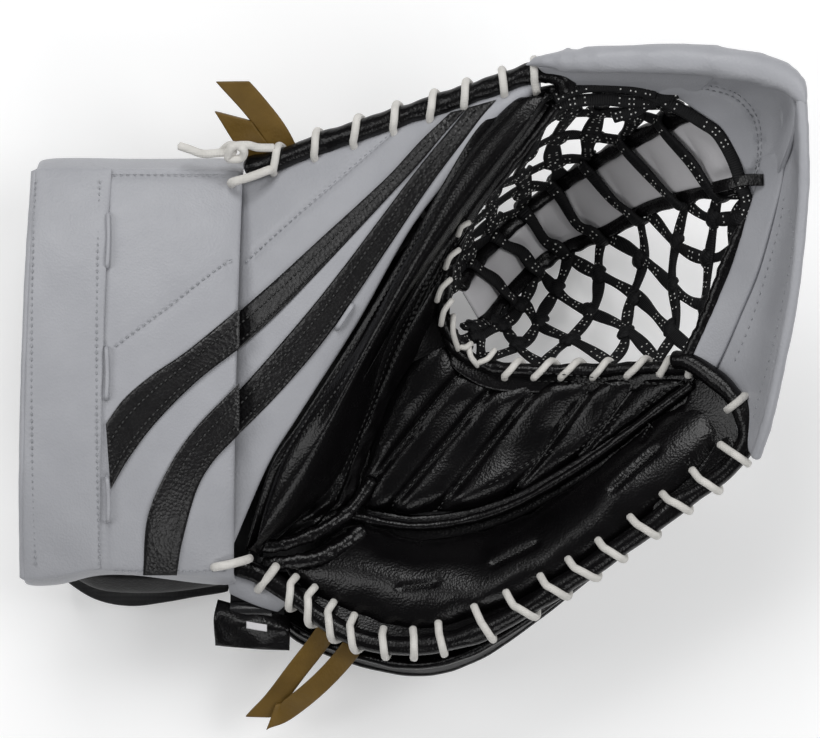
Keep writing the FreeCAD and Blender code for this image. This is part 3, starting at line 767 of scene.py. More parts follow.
def build_pad():
    flange = on_thumb([(-80, -86), (-69, -47), (-54, -23), (-28.5, 17), (-3, 60), (12, 86), (27, 110),
                       (43, 129)], 0.6)
    outer = smooth(flange, 6) + np.array((1.2, -0.5, 0.2))
    rails = [outer, (outer + PAD_CREST) / 2 + UP * 2.5, PAD_CREST + UP * 0.5,
             (PAD_CREST + PAD_INNER) / 2 + UP * 4.5, PAD_INNER]
    pad = pillow("thumb_pad_leather", rails, 9.0, "black", 170, 50, lift=0.6, power=8, top=ripple(0.5, 13, 5))
    under = smooth(PAD_CREST, 8) - UP * 7.0
    ride(pillow("pad_flange", bowed(flange, under, 0, 0, 0.5), HEM, "black", 120, 20, power=14), "thumb_side")
    ride(pad, "thumb_side", "thumb_pad")
    press(pad, list(zip(PAD_SLIT[:-1], PAD_SLIT[1:])), 2.4, 1.5)
    inner = pts((-12, 0, 60), (-1, 28, 78), (12, 52, 93), (25, 76, 102), (44, 102, 109), (60, 124, 118))
    edge = pts((19, 4, 57), (12.5, 28, 72), (15.5, 46, 82), (30, 75, 96), (50, 99, 103), (68, 121, 113))
    ride(pillow("pocket_corner_panel", bowed(inner, edge, 0, 0, 1.5), PANEL, "black", 70, 24, power=12),
         "thumb_side")
    ride(stitch_row("pad_slit", drape(pad, PAD_SLIT, 0.1), "thread_black", 2.0, 1.7, 0.45), "thumb_side")
    heel = pts((16.5, 52, 88), (14, 42, 83), (13, 32, 77), (14.5, 23, 71), (19, 15, 67), (27, 9, 64))
    ride(rolled("pocket_heel_roll", heel, 3.4, count=60, wobble=0.6), "thumb_side")
    row = drape(pad, flange[1:-1, :2] + np.array((2.6, -1.1)), 0.1)
    ride(stitch_row("pad_stitch", row, "thread_black", 2.8, 1.8, 0.35), "thumb_side")


# ---------------------------------------------------------------- hand side

PALM_SEAM = pts((-36, -68, 50), (2, -74, 52), (41, -66, 58), (79, -45, 66), (112, -20, 78), (131, -5, 88))
PALM_MID = pts((-26, -32, 56), (-3, -36, 51), (21, -37, 49), (55, -34, 52), (89, -23, 62), (114, -10, 76),
               (130, -2, 87))
PALM_TOP = pts((-16, -8, 62), (10, 17, 65), (22, 9, 60), (41, 0, 57), (70, -2, 60), (98, -2, 68),
               (116, -2, 78), (131, 0, 87))
FINGER_IN = pts((-72, -92, 60), (-51, -83, 55), (-30, -70, 48), (2, -75.5, 52), (41, -67.5, 58),
                (79, -46.5, 66), (112, -21.5, 78), (135, -6, 91))
FINGER_MID = pts((-66, -98, 61), (-43, -99, 62), (-19, -100, 64), (12, -100, 70), (50, -90, 77),
                 (88, -67, 85), (121, -40, 94), (143, -18, 100))
FINGER_OUT = pts((-62, -104, 62), (-43, -114, 67), (-17, -124, 75), (12, -124, 83), (50, -110, 91),
                 (93, -83, 98), (129, -55, 102), (148, -32, 105))
FINGER_EDGE = pts((-87, -93, 62), (-74, -98, 63), (-57, -109, 64), (-42, -120, 68), (-26, -128, 73),
                  (-7, -131, 78), (12, -129, 83), (27, -125, 87), (40, -119, 90), (54, -111, 93),
                  (68, -102, 95), (82, -93, 97), (96, -83, 99), (110, -73, 101), (124, -62, 102),
                  (136, -54, 103), (147, -45, 105), (155, -33, 107), (154, -21, 107), (147, -10, 103),
                  (138, -2, 98), (129, 4, 93), (121, 5, 88))
POCKET_EDGE = pts((14, 18, 66), (22, 9, 63), (35, 2, 61), (52, 0, 60), (70, 0, 62), (88, 0, 67),
                  (107, 1, 74), (121, 1, 81), (134, 0, 90))
CHANNELS = (((30, 8), (-26, -60)), ((47, 3), (-18, -74)), ((67, 2), (2, -78)), ((91, 1), (33, -78)),
            ((108, -2), (72, -50)))
FINGER_SLITS = (((93, -56), (114, -37)), ((37, -92), (57, -82)), ((-7, -103), (9, -101)),
                ((107, -33), (117, -18)))
WRAP_HOLES = pts((-57, -99), (-48, -104), (-39, -111), (-29, -117), (-15, -123), (-1, -123), (11, -120),
                 (28, -112), (43, -105), (59, -97), (72, -89), (86, -80), (101, -69), (116, -58), (130, -47),
                 (143, -35), (151, -14))
WRAP_ENDS = pts((-57, -114), (-45, -120), (-33, -126), (-24, -131), (-12, -135), (-1, -135), (14, -133),
                (35, -122), (58, -112), (73, -103), (87, -94), (99, -86), (114, -75), (130, -65), (144, -55),
                (155, -43), (141, -22))
POCKET_HOLES = pts((43, -4), (57, -4), (70, -4), (85, -4), (101, -3), (116, -1), (129, -1))
POCKET_ENDS = pts((53, 7), (69, 7), (82, 7), (95, 8), (113, 7), (123, 7), (130, 8))


def nearest(edge, point):
    t = np.linspace(0, 1, 400)
    line = run(edge, t)
    return t[np.argmin(np.linalg.norm(line[:, :2] - point[:2], axis=1))]


def wrap_between(name, edge, hole, end, core, radius):
    """A whipped stitch from its hole, over the rolled edge and down its outer side."""
    ring = core + radius * 0.72
    ts = np.linspace(nearest(edge, hole), nearest(edge, end), len(WRAP_TURNS))
    centre = run(edge, ts)
    out = np.append(end - hole, 0)
    side = unit(np.cross(run(edge, np.clip(ts + 0.01, 0, 1)) - run(edge, np.clip(ts - 0.01, 0, 1)), UP))
    side *= np.sign(side @ out)[:, None]
    over = centre + side * (np.cos(WRAP_TURNS) * ring)[:, None] + UP * (np.sin(WRAP_TURNS) * ring)[:, None]
    mouth = np.array((hole[0], hole[1], centre[0][2] - 1.0))
    path = np.vstack((mouth - UP * WRAP_SINK, mouth + UP * 1.0, over))
    return lace(name, path, radius, radius * 0.78, 44)


def whip(names, edge, holes, ends, core, body, node, radius=WRAP_R):
    """Whipped stitches along a rolled edge; the first one stands for the CAD lace."""
    for k, (hole, end) in enumerate(zip(holes, ends)):
        ride(wrap_between(names % k, edge, hole, end, core, radius), body, *([node] if k == 0 else []))


def build_palm():
    palm = pillow("palm_leather", [PALM_SEAM, PALM_MID, PALM_TOP], 6.0, "black", 170, 110, power=12,
                  top=lambda grid, u, v: groove(grid, CHANNELS, 3.4, 4.6) + 3.2)
    puff(palm, 3, settle=8)
    press(palm, CHANNELS, 2.8, 1.8)
    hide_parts("palm_pad")
    over_fold(palm)
    for k, (a, b) in enumerate(CHANNELS):
        way = [(a[0] + (b[0] - a[0]) * t, a[1] + (b[1] - a[1]) * t) for t in np.linspace(0.06, 0.92, 8)]
        row = stitch_row("palm_stitch_%d" % k, drape(palm, way), "thread_black", 3.4, 2.0, 0.3)
        over_fold(row)
    for name, line, top, low in (("palm_hem", PALM_SEAM, (0, 4, -2.5), (0, -9, -1.5)),
                                 ("pocket_hem", POCKET_EDGE, (0, 1.5, -2.4), (0, -11, -1.8))):
        rails = [line + np.array(top), line + np.array(low)]
        ride(pillow(name, rails, 2.0, "black", 120, 12, us=(0.06, 1)), "hand_side")
    welt = PALM_SEAM + np.array((0, -1.2, 2.0))
    ride(rolled("palm_seam_roll", welt, 2.2, wobble=0.6), "hand_side", "palm_welt")
    build_finger()
    ride(rolled("finger_edge_roll", FINGER_EDGE, 4.7, count=420, wobble=0.6), "hand_side", "finger_binding")
    ride(rolled("pocket_edge_roll", POCKET_EDGE, 3.2, wobble=0.7), "hand_side", "pocket_binding")
    whip("finger_wrap_%02d", FINGER_EDGE, WRAP_HOLES, WRAP_ENDS, 4.7, "hand_side", "finger_lace")
    whip("pocket_wrap_%d", POCKET_EDGE, POCKET_HOLES, POCKET_ENDS, 3.2, "hand_side", "pocket_lace", 1.7)


def build_finger():
    def relief(grid, u, v):
        full = 3.0 * np.sin(v * math.pi)[None, :] * np.clip(np.sin(u * math.pi) * 3, 0, 1)[:, None]
        folds = sum(np.sin(u * a + b)[:, None] * np.sin(v * c + b)[None, :]
                    for a, b, c in ((19, 0.4, 3), (37, 1.3, 5), (61, 2.2, 4))) * 0.35
        return full + folds

    finger = pillow("finger_leather", [FINGER_OUT, FINGER_MID, FINGER_IN], 8.0, "black", 190, 90,
                    top=relief, power=9)
    puff(finger, 6, settle=10)
    press(finger, FINGER_SLITS, 1.5, 1.5)
    for k, slit in enumerate(FINGER_SLITS):
        row = drape(finger, slit, 0.1)
        ride(stitch_row("finger_slit_%d" % k, row, "thread_black", 2.2, 1.6, 0.35), "hand_side")
    ride(finger, "hand_side", "finger_pad")
    away = unit(FINGER_OUT - FINGER_MID)
    rails = [FINGER_OUT + away * 5.5 - UP * 2.0, FINGER_OUT - UP * 3.0,
             (FINGER_OUT + FINGER_MID) / 2 - UP * 5.0]
    ride(pillow("finger_hem", rails, HEM, "black", 150, 20, power=14), "hand_side")
    outer = pts((112, -70, 98), (124, -61, 99), (136, -53, 100), (148, -43, 102), (155, -30, 104),
                (153, -18, 103))
    inner = pts((108, -44, 90), (117, -33, 91), (124, -23, 90), (128, -13, 88), (131, -4, 88), (138, -2, 92))
    ride(pillow("finger_end_panel", bowed(outer, inner, 0, 0, 1.0), PANEL, "black", 60, 30, power=10),
         "hand_side")


# ---------------------------------------------------------------- heel, shells and straps

HEEL_PAD_SIDE = pts((-70, -84, 58), (-50, -64, 59), (-34, -34, 64), (-24, -10, 70), (-17, 14, 78),
                    (0, 42, 90), (22, 70, 101))
HEEL_CREASE = pts((-56, -82, 58), (-38, -64, 57), (-26, -34, 62), (-16, -10, 67), (-6, 14, 74), (8, 38, 85),
                  (25, 66, 98))
HEEL_PALM_SIDE = pts((-46, -82, 56), (-32, -66, 53), (-20, -36, 55), (-10, -12, 60), (2, 8, 64),
                     (12, 30, 76), (25, 62, 95))
BACK_INNER = pts((-57, -49, 12.5), (-32, -34, 12), (-2, -25, 12.5), (32, -20, 14), (71, -17, 21),
                 (107, -14, 40), (134, -12, 66))
BACK_OUTER = pts((-75, -112, 22), (-54, -132, 28), (-7, -146, 36), (27, -140, 42), (70, -110, 50),
                 (122, -64, 64), (150, -34, 80))
BACK_RIM = pts((-70, -116, 38), (-50, -129, 47), (-7, -141, 60), (27, -134, 72), (70, -106, 82),
               (122, -65, 91), (150, -40, 94))
BACK_SAG = (4, 9, 11, 11, 12, 10, 8)


def build_heel():
    def creases(grid, u, v):
        waves = sum(np.sin(u[:, None] * a + 2.5 * np.sin(v[None, :] * 3 + p))
                    for a, p in ((34, 0.3), (55, 1.9), (83, 4.0)))
        return waves * 0.5 * np.clip(1 - u[:, None] * 1.6, 0.05, 1)

    halves = [pillow(name, bowed(edge, HEEL_CREASE, 0, 0, bow), 2.6, "black", 120, 30, top=creases)
              for name, edge, bow in (("heel_gusset_thumb", HEEL_PAD_SIDE, 1.0),
                                      ("heel_gusset_palm", HEEL_PALM_SIDE, 0.6))]
    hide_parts("gusset")
    over_fold(halves[0])
    over_fold(halves[1])
    for k, side in enumerate((0.25, 0.8)):
        line = HEEL_PAD_SIDE * (0.4 - 0.4 * side) + HEEL_CREASE * (0.6 + 0.4 * side)
        row = drape(halves[0], line[1:, :2], 0.1)
        over_fold(stitch_row("gusset_stitch_%d" % k, row, "thread_black"))
    fold = pts((-78, -84, 66), (-66, -84, 64), (-52, -80, 62), (-40, -74, 60), (-30, -66, 56),
               (-20, -52, 53))
    ride(rolled("heel_fold", fold, 3.2, count=60, wobble=0.8, high=2.4), "hand_side")
    fold = pts((-74, -93, 62), (-60, -92, 64), (-46, -90, 63), (-34, -84, 60), (-24, -76, 56))
    ride(rolled("heel_fold_low", fold, 3.6, count=60, wobble=0.8, high=2.4), "hand_side")


def shell(name, rails, nu, nv, body, node):
    """A panel of the glove's back."""
    ride(pillow(name, rails, SHELL_THICK, "shell", nu, nv, lift=0.2, power=20), body, node)


def build_shells():
    knuckle = (BACK_INNER + BACK_OUTER) / 2 - np.stack((np.zeros(7), np.full(7, 4.0), BACK_SAG), 1)
    shell("finger_back_leather", [BACK_OUTER, knuckle, BACK_INNER], 90, 40, "hand_side", "finger_back")
    side_low = BACK_OUTER + np.array((0.5, -0.8, 0.8))
    side_mid = (BACK_OUTER + BACK_RIM) / 2 + np.array((0, -1, -1))
    shell("finger_side_leather", [BACK_RIM, side_mid, side_low], 120, 30, "hand_side", "finger_side")
    ride(rolled("shell_rim", BACK_RIM + UP * 0.4, 2.3, wobble=0.5), "hand_side")
    back_top = pts((-77, 90, 66), (-45, 100, 74), (-7, 109, 87), (24, 119, 98), (46, 126, 106))
    back_mid = pts((-78, 40, 32), (-42, 64, 40), (-2, 90, 56), (30, 110, 78), (49, 124, 99))
    back_low = pts((-78, -62, 52), (-60, -34, 58), (-32, 10, 66), (4, 62, 84), (48, 116, 100))
    shell("thumb_back_leather", [back_low, back_mid, back_top], 90, 60, "thumb_side", "thumb_back")
    build_liners()
    flare = pts((-164, -94, 70), (-150, -99, 64), (-125, -100, 60), (-100, -97, 60), (-88, -94, 60))
    rails = bowed(flare, flare + np.array((2, -7, -31)), 0, -4, 0)
    ride(pillow("cuff_skirt", rails, PANEL, "shell", 60, 20), "cuff")
    top = pts((-164, 89, 75), (-140, 91, 72), (-112, 91, 70), (-92, 89, 68))
    low = pts((-158, 82, 16), (-140, 83, 13), (-112, 83, 13), (-98, 82, 16))
    ride(pillow("cuff_skirt_thumb", bowed(top, low, 0, 4, 0), PANEL, "shell", 60, 20), "cuff")
    low = pts((-100, -103, 15), (-92, -101, 8.5), (-78, -84, 6.5), (-66, -62, 6.5))
    high = pts((-76, -110, 24), (-70, -104, 19), (-64, -84, 13), (-57, -60, 12.5))
    ride(pillow("wrist_bridge", bowed(low, high, 0, 0, -1.0), 2.6, "lining", 70, 24), "hand_side")
    ride(rolled("shell_seam", BACK_OUTER, 2.3, wobble=0.4), "hand_side")


def build_liners():
    """The two pads next to the hand: on its back and under the wrist."""
    rows = ((-104, 14), (-101, 5), (-94, 1), (-67, 0), (-40, 1), (-33, 5), (-30, 14))
    rails = [[(-26 + cut + (98 - 2 * cut) * k / 3, y, 7.0) for k in range(4)] for y, cut in rows]
    cushion = pillow("backhand_cushion", rails, 7.0, "lining", 60, 50, crown=0.6)
    ride(cushion, "hand_side", "backhand_pad")
    profile = ((-113, 22, -92), (-106, 9, -90), (-92, 5.6, -80), (-50, 5.5, -65), (-10, 5.5, -64),
               (30, 5.5, -72), (60, 6.5, -84), (74, 12, -92))
    waist = (0.88, 0.97, 1.0, 0.985, 0.96, 0.94)
    rails = [[(-172 + (172 + end) * k / 5, y * waist[k], z) for k in range(6)] for y, z, end in profile]
    wrist = pillow("wrist_pad", rails, 5.0, "lining", 50, 120, power=9,
                   top=lambda grid, u, v: 0.8 * np.abs(np.sin(v * 22))[None, :] * np.ones((len(u), 1)) - 0.8)
    ride(wrist, "hand_side", "wrist_liner")


def build_thongs():
    heel, top = (0.87, -0.49, 0), (0.85, 0.53, 0)
    rows = (("heel", "a", "hand_side", heel, 10.0, -1.0,
             pts((-36, -114, 58), (-45, -129, 56), (-57, -145, 46), (-68, -160, 34), (-76, -169, 26))),
            ("heel", "b", "hand_side", heel, 10.0, 1.2,
             pts((-24, -124, 62), (-35, -139, 60), (-48, -153, 50), (-62, -165, 36), (-70, -169, 32))),
            ("top", "a", "thumb_side", top, 12.0, -0.9,
             pts((-58, 96, 74), (-66, 112, 78), (-76, 125, 84), (-86, 136, 90))),
            ("top", "b", "thumb_side", (0.95, 0.2, 0.1), 13.0, -1.0,
             pts((-72, 97, 74), (-75, 104, 76), (-81, 112, 80), (-86, 120, 84))))
    for place, label, body, across, wide, slant, path in rows:
        thong = strap("%s_thong_leather_%s" % (place, label), path, across, wide, 2.4, "thong", slant)
        ride(thong, body, "%s_thong_%s" % (place, label))


def build_tab():
    rails = [pts((-89, -93, 62), (-75, -99, 62), (-60, -107, 61)),
             pts((-90, -101, 61), (-76, -107, 61), (-62, -113, 59)),
             pts((-89.5, -108, 56), (-77, -113.5, 56), (-66, -117, 55))]
    ride(pillow("strap_tab_leather", rails, HEM, "white", 40, 24, power=10), "hand_side")
    rails = [pts((-95, -110, 51.5), (-78, -114.5, 52), (-60, -118, 51.5)),
             pts((-97, -120, 56), (-79, -123, 57), (-60, -125.5, 56)),
             pts((-96.5, -133.5, 50), (-79, -135, 51), (-60.5, -136, 50))]
    ride(pillow("ring_strap_leather", rails, 2.6, "black", 60, 30, power=10, top=ripple(0.4, 12, 9)),
         "strap_ring")
    rails = [pts((-81, -120.5, 57.8), (-76, -121.4, 58.3), (-71, -122.2, 58)),
             pts((-81, -124, 58.1), (-76, -124.9, 58.5), (-71, -125.7, 58.2))]
    ride(pillow("ring_strap_patch", rails, 0.9, "pale_and_painted_light", 16, 10, lift=0.6, power=10), "strap_ring")
    cuff_end = pts((-94.5, -94, 74), (-95, -93.4, 81.5), (-88, -92, 83.4), (-80, -90, 78.5),
                   (-78.5, -89.7, 70))
    tab_end = pts((-66, -93, 60), (-67, -94.6, 67.6), (-71, -100, 67), (-75, -105, 62.4), (-75.5, -106, 56))
    ride(lace("heel_lace_cuff", cuff_end, 2.1, 1.7), "hand_side")
    ride(lace("heel_lace_tab", tab_end, 2.1, 1.7), "hand_side")


def build_top_lace():
    cross = pts((-86, 88, 78), (-86.5, 88.6, 88.5), (-78, 91, 90.4), (-69, 94.4, 89.5), (-68.5, 94.8, 80))
    ride(lace("cuff_cross_lace", cross, 2.1, 1.6), "thumb_side")
    knot = pts((-92, 103, 86), (-87, 106, 92), (-81, 104, 93), (-82, 100, 90), (-88, 100, 91),
               (-86, 105, 94), (-79, 106, 92), (-74, 105, 90), (-66, 105, 88))
    ride(lace("lace_knot_wraps", knot, 2.0, 1.7, 90), "thumb_side", "lace_knot")
    tail = pts((-84, 103, 90), (-92, 102.5, 91), (-100, 102, 91), (-106, 104, 91), (-112, 106, 91))
    ride(lace("lace_tail_end", tail, 2.0, 1.6), "thumb_side", "lace_tail")


# ---------------------------------------------------------------- web

STEM_THUMB = pts((133, 122, 108), (115, 115, 84), (96, 106, 54), (79, 96, 28), (63, 85, 13), (46, 70, 12),
                 (30, 53, 26), (21, 40, 44))
STEM_MID = pts((146, 104, 106), (126, 99, 78), (107, 91, 46), (89, 79, 20), (70, 68, 6), (53, 61, 7),
               (37, 44, 22), (27, 31, 42))
STEM_FINGER = pts((152, 86, 99), (134, 84, 78), (114, 79, 46), (96, 69, 20), (76, 61, 6), (59, 50, 7),
                  (43, 34, 22), (33, 22, 40))
CROSS_AT = (0.075, 0.2, 0.335, 0.47, 0.605, 0.735, 0.865)
STEM_ARCH = ((-2, -5), (-5.5, -1.5), (-3, 4.6), (4, 5.4))     # a cross lace's end: (inwards, up)
KNOT_ARCH = ((-1, -0.4), (-0.5, 1.0), (0, 1.5), (0.5, 1.0), (1, -0.4))
NET_PITCH = 0.133                   # between laces of one family, as a fraction of the net's edge
NET_RISE, NET_FALL = 0.24, 0.29     # how far the two families lean along that edge
EDGE_LACES = (("cap_edge_lace", "t_web",
               pts((106, 129, 116), (114, 126, 116), (124, 121, 115), (134, 115, 114), (141, 110, 113),
                   (148, 98.5, 111), (152, 87, 110), (155, 77, 107), (152, 67, 104))),
              ("wall_edge_lace_a", "thumb_side",
               pts((64, 126, 118), (76, 131, 119), (90, 132, 119), (102, 130.5, 119), (112, 128.5, 117))),
              ("wall_edge_lace_b", "thumb_side",
               pts((63, 122, 114), (74, 125, 115), (88, 126, 114), (100, 125, 113), (112, 125, 115))),
              ("wall_edge_lace_c", "thumb_side",
               pts((92, 118, 108), (102, 121, 111), (110, 125, 115), (122, 129, 119))))


def on_patch(rails, u, v):
    """Points and normals of the surface carried by the rails at paired fractions."""
    def at(u, v):
        lines = np.stack([run(r, u) for r in rails])
        return np.stack([run(lines[:, k], v[k])[0] for k in range(len(u))])

    here = at(u, v)
    du = at(np.clip(u + 0.01, 0, 1), v) - at(np.clip(u - 0.01, 0, 1), v)
    dv = at(u, np.clip(v + 0.02, 0, 1)) - at(u, np.clip(v - 0.02, 0, 1))
    n = unit(np.cross(du, dv))
    return here, n * np.where(n[:, 2:] < 0, -1, 1)


def net_strand(rails, u0, slope, side, wide):
    """One flat lace of a net: a straight run in the surface's own fractions, woven up and down."""
    v = np.linspace(-0.02, 1.02, 60)
    u = u0 + slope * v + 0.012 * np.sin(v * 9 + u0 * 31)
    keep = (u > 0.0) & (u < 1.0)
    if keep.sum() < 6:
        return None
    u, v = u[keep], v[keep]
    line, n = on_patch(rails, u, v)
    line = line + n * (0.7 * side * np.cos(math.pi * v * (NET_RISE + NET_FALL) / NET_PITCH))[:, None]
    line[:, 2] = np.maximum(line[:, 2], LOWEST)
    twist = 0.82 + 0.18 * np.cos(v * 19 + u0 * 40)
    return swept(line, wide * twist, 1.0 + 0.5 * (1 - twist), n, 10, 0.5, 3.0)


def net(name, rails, first, wide, knot):
    """Two crossing families of flat laces, knotted where they meet."""
    starts = [first + k * NET_PITCH for k in range(-5, int(1 / NET_PITCH) + 5)]
    for label, slope, side in (("a", NET_RISE, 1), ("b", -NET_FALL, -1)):
        parts = [net_strand(rails, u0, slope, side, wide) for u0 in starts]
        laces = tubes(name + "_laces_" + label, [part for part in parts if part is not None], "net")
        over_fold(laces)
        if label == "a":
            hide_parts(name)
    steps = [m * NET_PITCH / (NET_RISE + NET_FALL) for m in range(1, 9)]
    knots = [(u0 + NET_RISE * v, v) for u0 in starts for v in steps]
    u, v = np.array([(u, v) for u, v in knots if 0.02 < u < 0.98 and 0.04 < v < 0.96]).T
    here, n = on_patch(rails, u, v)
    ahead, _ = on_patch(rails, np.clip(u + 0.03 * NET_RISE, 0, 1), np.clip(v + 0.03, 0, 1))
    parts = []
    for p, q, up in zip(here, ahead, n):
        way = (q - p) / max(np.linalg.norm(q - p), 1e-6)
        across = np.cross(way, up)
        turn = RNG.uniform(-0.5, 0.5)
        for tilt in (0.45 + turn, -0.55 + turn):
            aim = way * math.cos(tilt) + across * math.sin(tilt)
            reach = knot * RNG.uniform(0.85, 1.15)
            path = [p + aim * reach * along + up * rise for along, rise in KNOT_ARCH]
            fat = knot * 0.62 * (0.65 + 0.35 * np.sin(np.linspace(0, 1, 16) * math.pi))
            parts.append(swept(smooth(path, 16), fat, 1.5, up, 10, 0.8, 2.4))
    over_fold(tubes(name + "_knots", parts, "net", RNG.uniform(0, 40)))


def net_rails(far, near, depth, *sag):
    """A net's far edge, its sagging middle and its near edge."""
    t = np.linspace(0, 1, 5)
    middle = (run(near, t) + run(far, t)) / 2 + np.array(sag) * (depth * np.sin(math.pi * t))[:, None]
    return [far, middle, near]


def build_web():
    middle = smooth(STEM_MID, 8)
    rails = [STEM_THUMB - WEB_SIDE * 3.0, middle, STEM_FINGER + WEB_SIDE * 3.0]

    def squares(grid, u, v):
        lines = [0.0, *CROSS_AT, 1.0]
        rise = np.zeros(len(u))
        for a, b in zip(lines[:-1], lines[1:]):
            inside = (u >= a) & (u <= b)
            rise[inside] = np.sin((u[inside] - a) / (b - a) * math.pi) ** 0.7
        return 2.2 * rise[:, None] * np.sin(v * math.pi)[None, :]

    # The stem is the glove's white leather; its paler colour is painted light against the shade in the
    # pocket.
    stem = pillow("stem_leather", rails, 4.0, "pale_and_painted_light", 200, 40, lift=2.2, top=squares, power=20)
    ride(stem, "t_web", "t_stem", "stem_patch")
    for label, line in (("thumb", STEM_THUMB), ("finger", STEM_FINGER)):
        ride(rolled("stem_roll_" + label, line + UP * 1.0, 4.0, wobble=1.0, high=2.6), "t_web",
             "stem_binding_" + label)
    parts = []
    wave = np.linspace(0, 1, 60)
    for k, t in enumerate(CROSS_AT):
        a, b = run(STEM_THUMB, t + 0.035)[0], run(STEM_FINGER, t - 0.01)[0]
        mid = run(middle, t + 0.012)[0]
        _, n = on_patch(rails, np.array([t]), np.array([0.5]))
        out = (b - a) / np.linalg.norm(b - a)
        line = smooth(np.vstack([a + out * x + n * z for x, z in STEM_ARCH] + [mid + n * 6.2]
                                + [b - out * x + n * z for x, z in STEM_ARCH[::-1]]), 60)
        line[:, 2] = np.maximum(line[:, 2], LOWEST)
        wide = 3.1 + 0.5 * np.sin(wave * 16 + k)
        parts.append(swept(line, wide, 1.3, np.repeat(n, 60, axis=0), 12, 0.5, 3.0))
    ride(tubes("stem_cross_laces", parts, "net"), "t_web")
    far = np.vstack((POCKET_EDGE + np.array((-1, 3.0, -3)),
                     pts((141, 13, 90), (150, 32, 95), (155, 52, 99), (157, 70, 102))))
    near = (STEM_FINGER - WEB_SIDE * 2.0)[::-1]
    net("finger_net", net_rails(far, near, 16, 0.1, -0.1, -0.6), -0.095, 3.5, 4.8)
    far = np.vstack((THUMB_POCKET[::-1] + np.array((1, -1, -5)), pts((80, 128, 112), (98, 129, 112))))
    near = (STEM_THUMB + WEB_SIDE * 2.0)[::-1]
    net("thumb_net", net_rails(far, near, 12, -0.3, 0.35, -0.6), -0.14, 4.8, 6.2)
    for name, body, path in EDGE_LACES:
        ride(lace(name, path, 3.0, 1.2, 80, "net", square=3.0), body)


# ---------------------------------------------------------------- cap

FLAP_RIM = pts((173.5, 124, 152), (174.5, 102, 153), (174.5, 78, 150), (171, 37, 144), (165, 0, 134),
               (160.5, -24, 124), (156, -41, 113))
FLAP_IN = pts((167, 124, 134), (169, 105, 126), (168, 88, 118), (157.5, 47, 108), (145, 14, 99),
              (136, 2, 92), (131, -9, 87))
FLAP_MID = (FLAP_RIM + FLAP_IN) / 2 + pts((2, 1, -3), (2, 0, -5), (2, 0, -6), (2, 0, -6), (2, 0, -5),
                                          (4, 0, -4), (4, 0, -2))
LIP_OUT = pts((171, 102, 128), (171, 88, 122), (166.5, 68, 117), (160.5, 46, 111.5), (153.5, 28, 106),
              (146.5, 11, 101), (140, -3, 96))
LIP_IN = pts((161.5, 100, 113), (159.5, 86, 108.5), (155, 70, 105.5), (149, 50, 102.5), (142.5, 34, 99.5),
             (135, 17, 96.5), (128, 1, 93))
ROLL_LINE = pts((49, 141, 127), (62, 142.5, 133), (82, 142.2, 141), (101, 142.3, 144), (119.4, 142, 146),
                (135, 141, 148), (148, 139, 150), (160, 136.5, 151), (170, 132.5, 152), (175.5, 125, 152.5),
                (177, 116, 153))
CORNER_ARC = ((127, 131), (138, 130), (149, 126.5), (157, 118), (160, 107), (159.5, 96), (157, 88))
FLAP_ROWS = (((171, 82), (168.5, 66), (163, 44), (156.5, 22), (149, 3)),
             ((172.5, 76), (173, 60), (169.5, 36), (165, 12), (160, -10), (157, -24)))


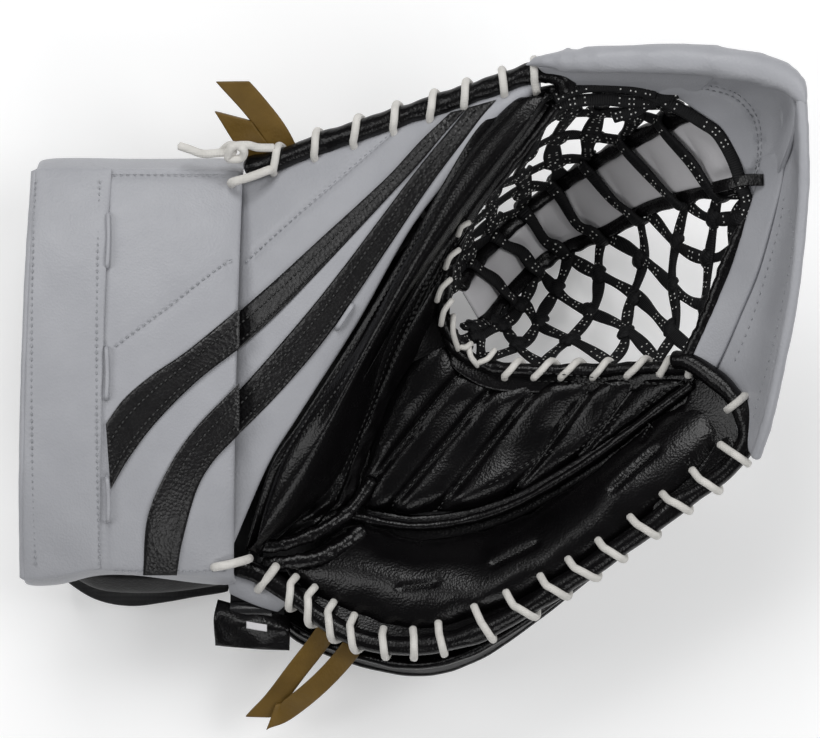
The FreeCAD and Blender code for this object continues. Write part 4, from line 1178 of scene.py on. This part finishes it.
def build_cap():
    t = np.linspace(0, 1, 170)
    size = np.interp(t, (0, 0.06, 0.15, 0.4, 0.7, 0.85, 0.93, 1), (1.6, 4.4, 6.6, 8.2, 8.2, 6.4, 4.2, 2.6))
    size = size + sum(np.sin(t * a + b) for a, b in ((37, 0.4), (61, 1.0), (90, 2.2))) * 0.1
    roll = lace("cap_roll_leather", ROLL_LINE, size, size, 170, "white", ring=32, ends=1.0)
    puff(roll, 5, settle=6)
    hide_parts("cap_roll")
    over_fold(roll)
    wall_top = pts((56, 139, 130), (82, 140, 138), (104, 140, 141.5), (124, 139.5, 144), (142, 138, 146))
    wall_low = pts((68, 131, 117), (84, 131.5, 118), (100, 130.5, 117), (114, 128, 115), (128, 126, 116))
    wall = pillow("cap_wall_leather", bowed(wall_low, wall_top, 0, -1, 0), PANEL, "white", 90, 24, power=20)
    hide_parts("cap_wall")
    over_fold(wall)
    build_corner()
    flap = pillow("cap_flap_leather", [FLAP_RIM, FLAP_MID, FLAP_IN], 4.2, "white", 140, 50, power=24,
                  top=ripple(0.5, 14, 7))
    ride(flap, "hand_side", "cap_flap")
    ride(pillow("cap_lip_leather", [LIP_OUT, LIP_IN], PANEL, "white", 100, 12, lift=1.6, power=16),
         "hand_side")
    edge = pts((156, 72, 104.5), (150.5, 60, 103), (144, 44, 100.5), (138, 27, 97.5), (132, 14, 95),
               (128, 5, 93))
    ride(rolled("flap_edge_roll", edge, 3.2, wobble=0.6, high=2.6), "hand_side", "flap_binding")
    rim = FLAP_RIM + np.array((2.3, 0, 0.6))
    ride(rolled("flap_rim_roll", rim, 2.6, "white", wobble=0.3), "hand_side", "flap_piping")
    for k, pairs in enumerate(FLAP_ROWS):
        ride(stitch_row("flap_stitch_%d" % k, drape(flap, pairs, 0.1), "thread_white", 4.2, 1.4), "hand_side")
    end = pts((140, 85.5, 101), (147, 87, 108), (154, 88.5, 112), (162, 88.5, 115))
    ride(strap("stem_strap_end", end, (0, 1, 0), 5.6, 1.6, "black"), "t_web")


def build_corner():
    inner = pts((112, 128, 117), (125, 124, 115), (138, 112, 111), (147, 99, 109), (153, 86, 107),
                (157, 78, 105))
    outer = pts((126, 138, 142.5), (146, 136.5, 147), (163, 132.5, 150), (172, 123, 150.5), (172, 108, 141),
                (168, 92, 124))
    mid = (inner + outer) / 2 + pts((0, 0, -1), (1, 1, -1), (5, 5, -3), (6, 4, -5), (3, 1, -5), (2, 0, -2))
    corner = pillow("cap_corner_leather", [inner, mid, outer], PANEL, "white", 110, 70, power=24,
                    top=ripple(0.5, 14, 7))
    ride(corner, "t_web")
    press(corner, list(zip(CORNER_ARC[:-1], CORNER_ARC[1:])), 1.1, 2.0)
    for k, shift in enumerate((-1.1, 1.1)):
        row = drape(corner, [(x + shift * 0.7, y + shift * 0.7) for x, y in CORNER_ARC], 0.1)
        ride(stitch_row("arc_stitch_%d" % k, row), "t_web")


# ---------------------------------------------------------------- carried-over CAD nodes

NODE_MATERIALS = {
    "lining": ("hand_liner", "thumb_liner", "cuff_lining", "finger_divider_a", "finger_divider_b",
               "finger_divider_c"),
    "board": ("palm_board", "finger_board", "thumb_board", "cuff_board"),
    "webbing": ("backhand_strap", "strap_patch"),
    "plastic": ("strap_ring", "strap_tab"),
}


def dress_nodes():
    """Gives the CAD nodes that stay visible their material."""
    for mat, names in NODE_MATERIALS.items():
        for name in names:
            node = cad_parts[name]
            node.data.materials.clear()
            node.data.materials.append(MATS[mat])


studio()
dress_nodes()
build_cuff()
build_thumb()
build_palm()
build_heel()
build_shells()
build_thongs()
build_tab()
build_top_lace()
build_web()
build_cap()
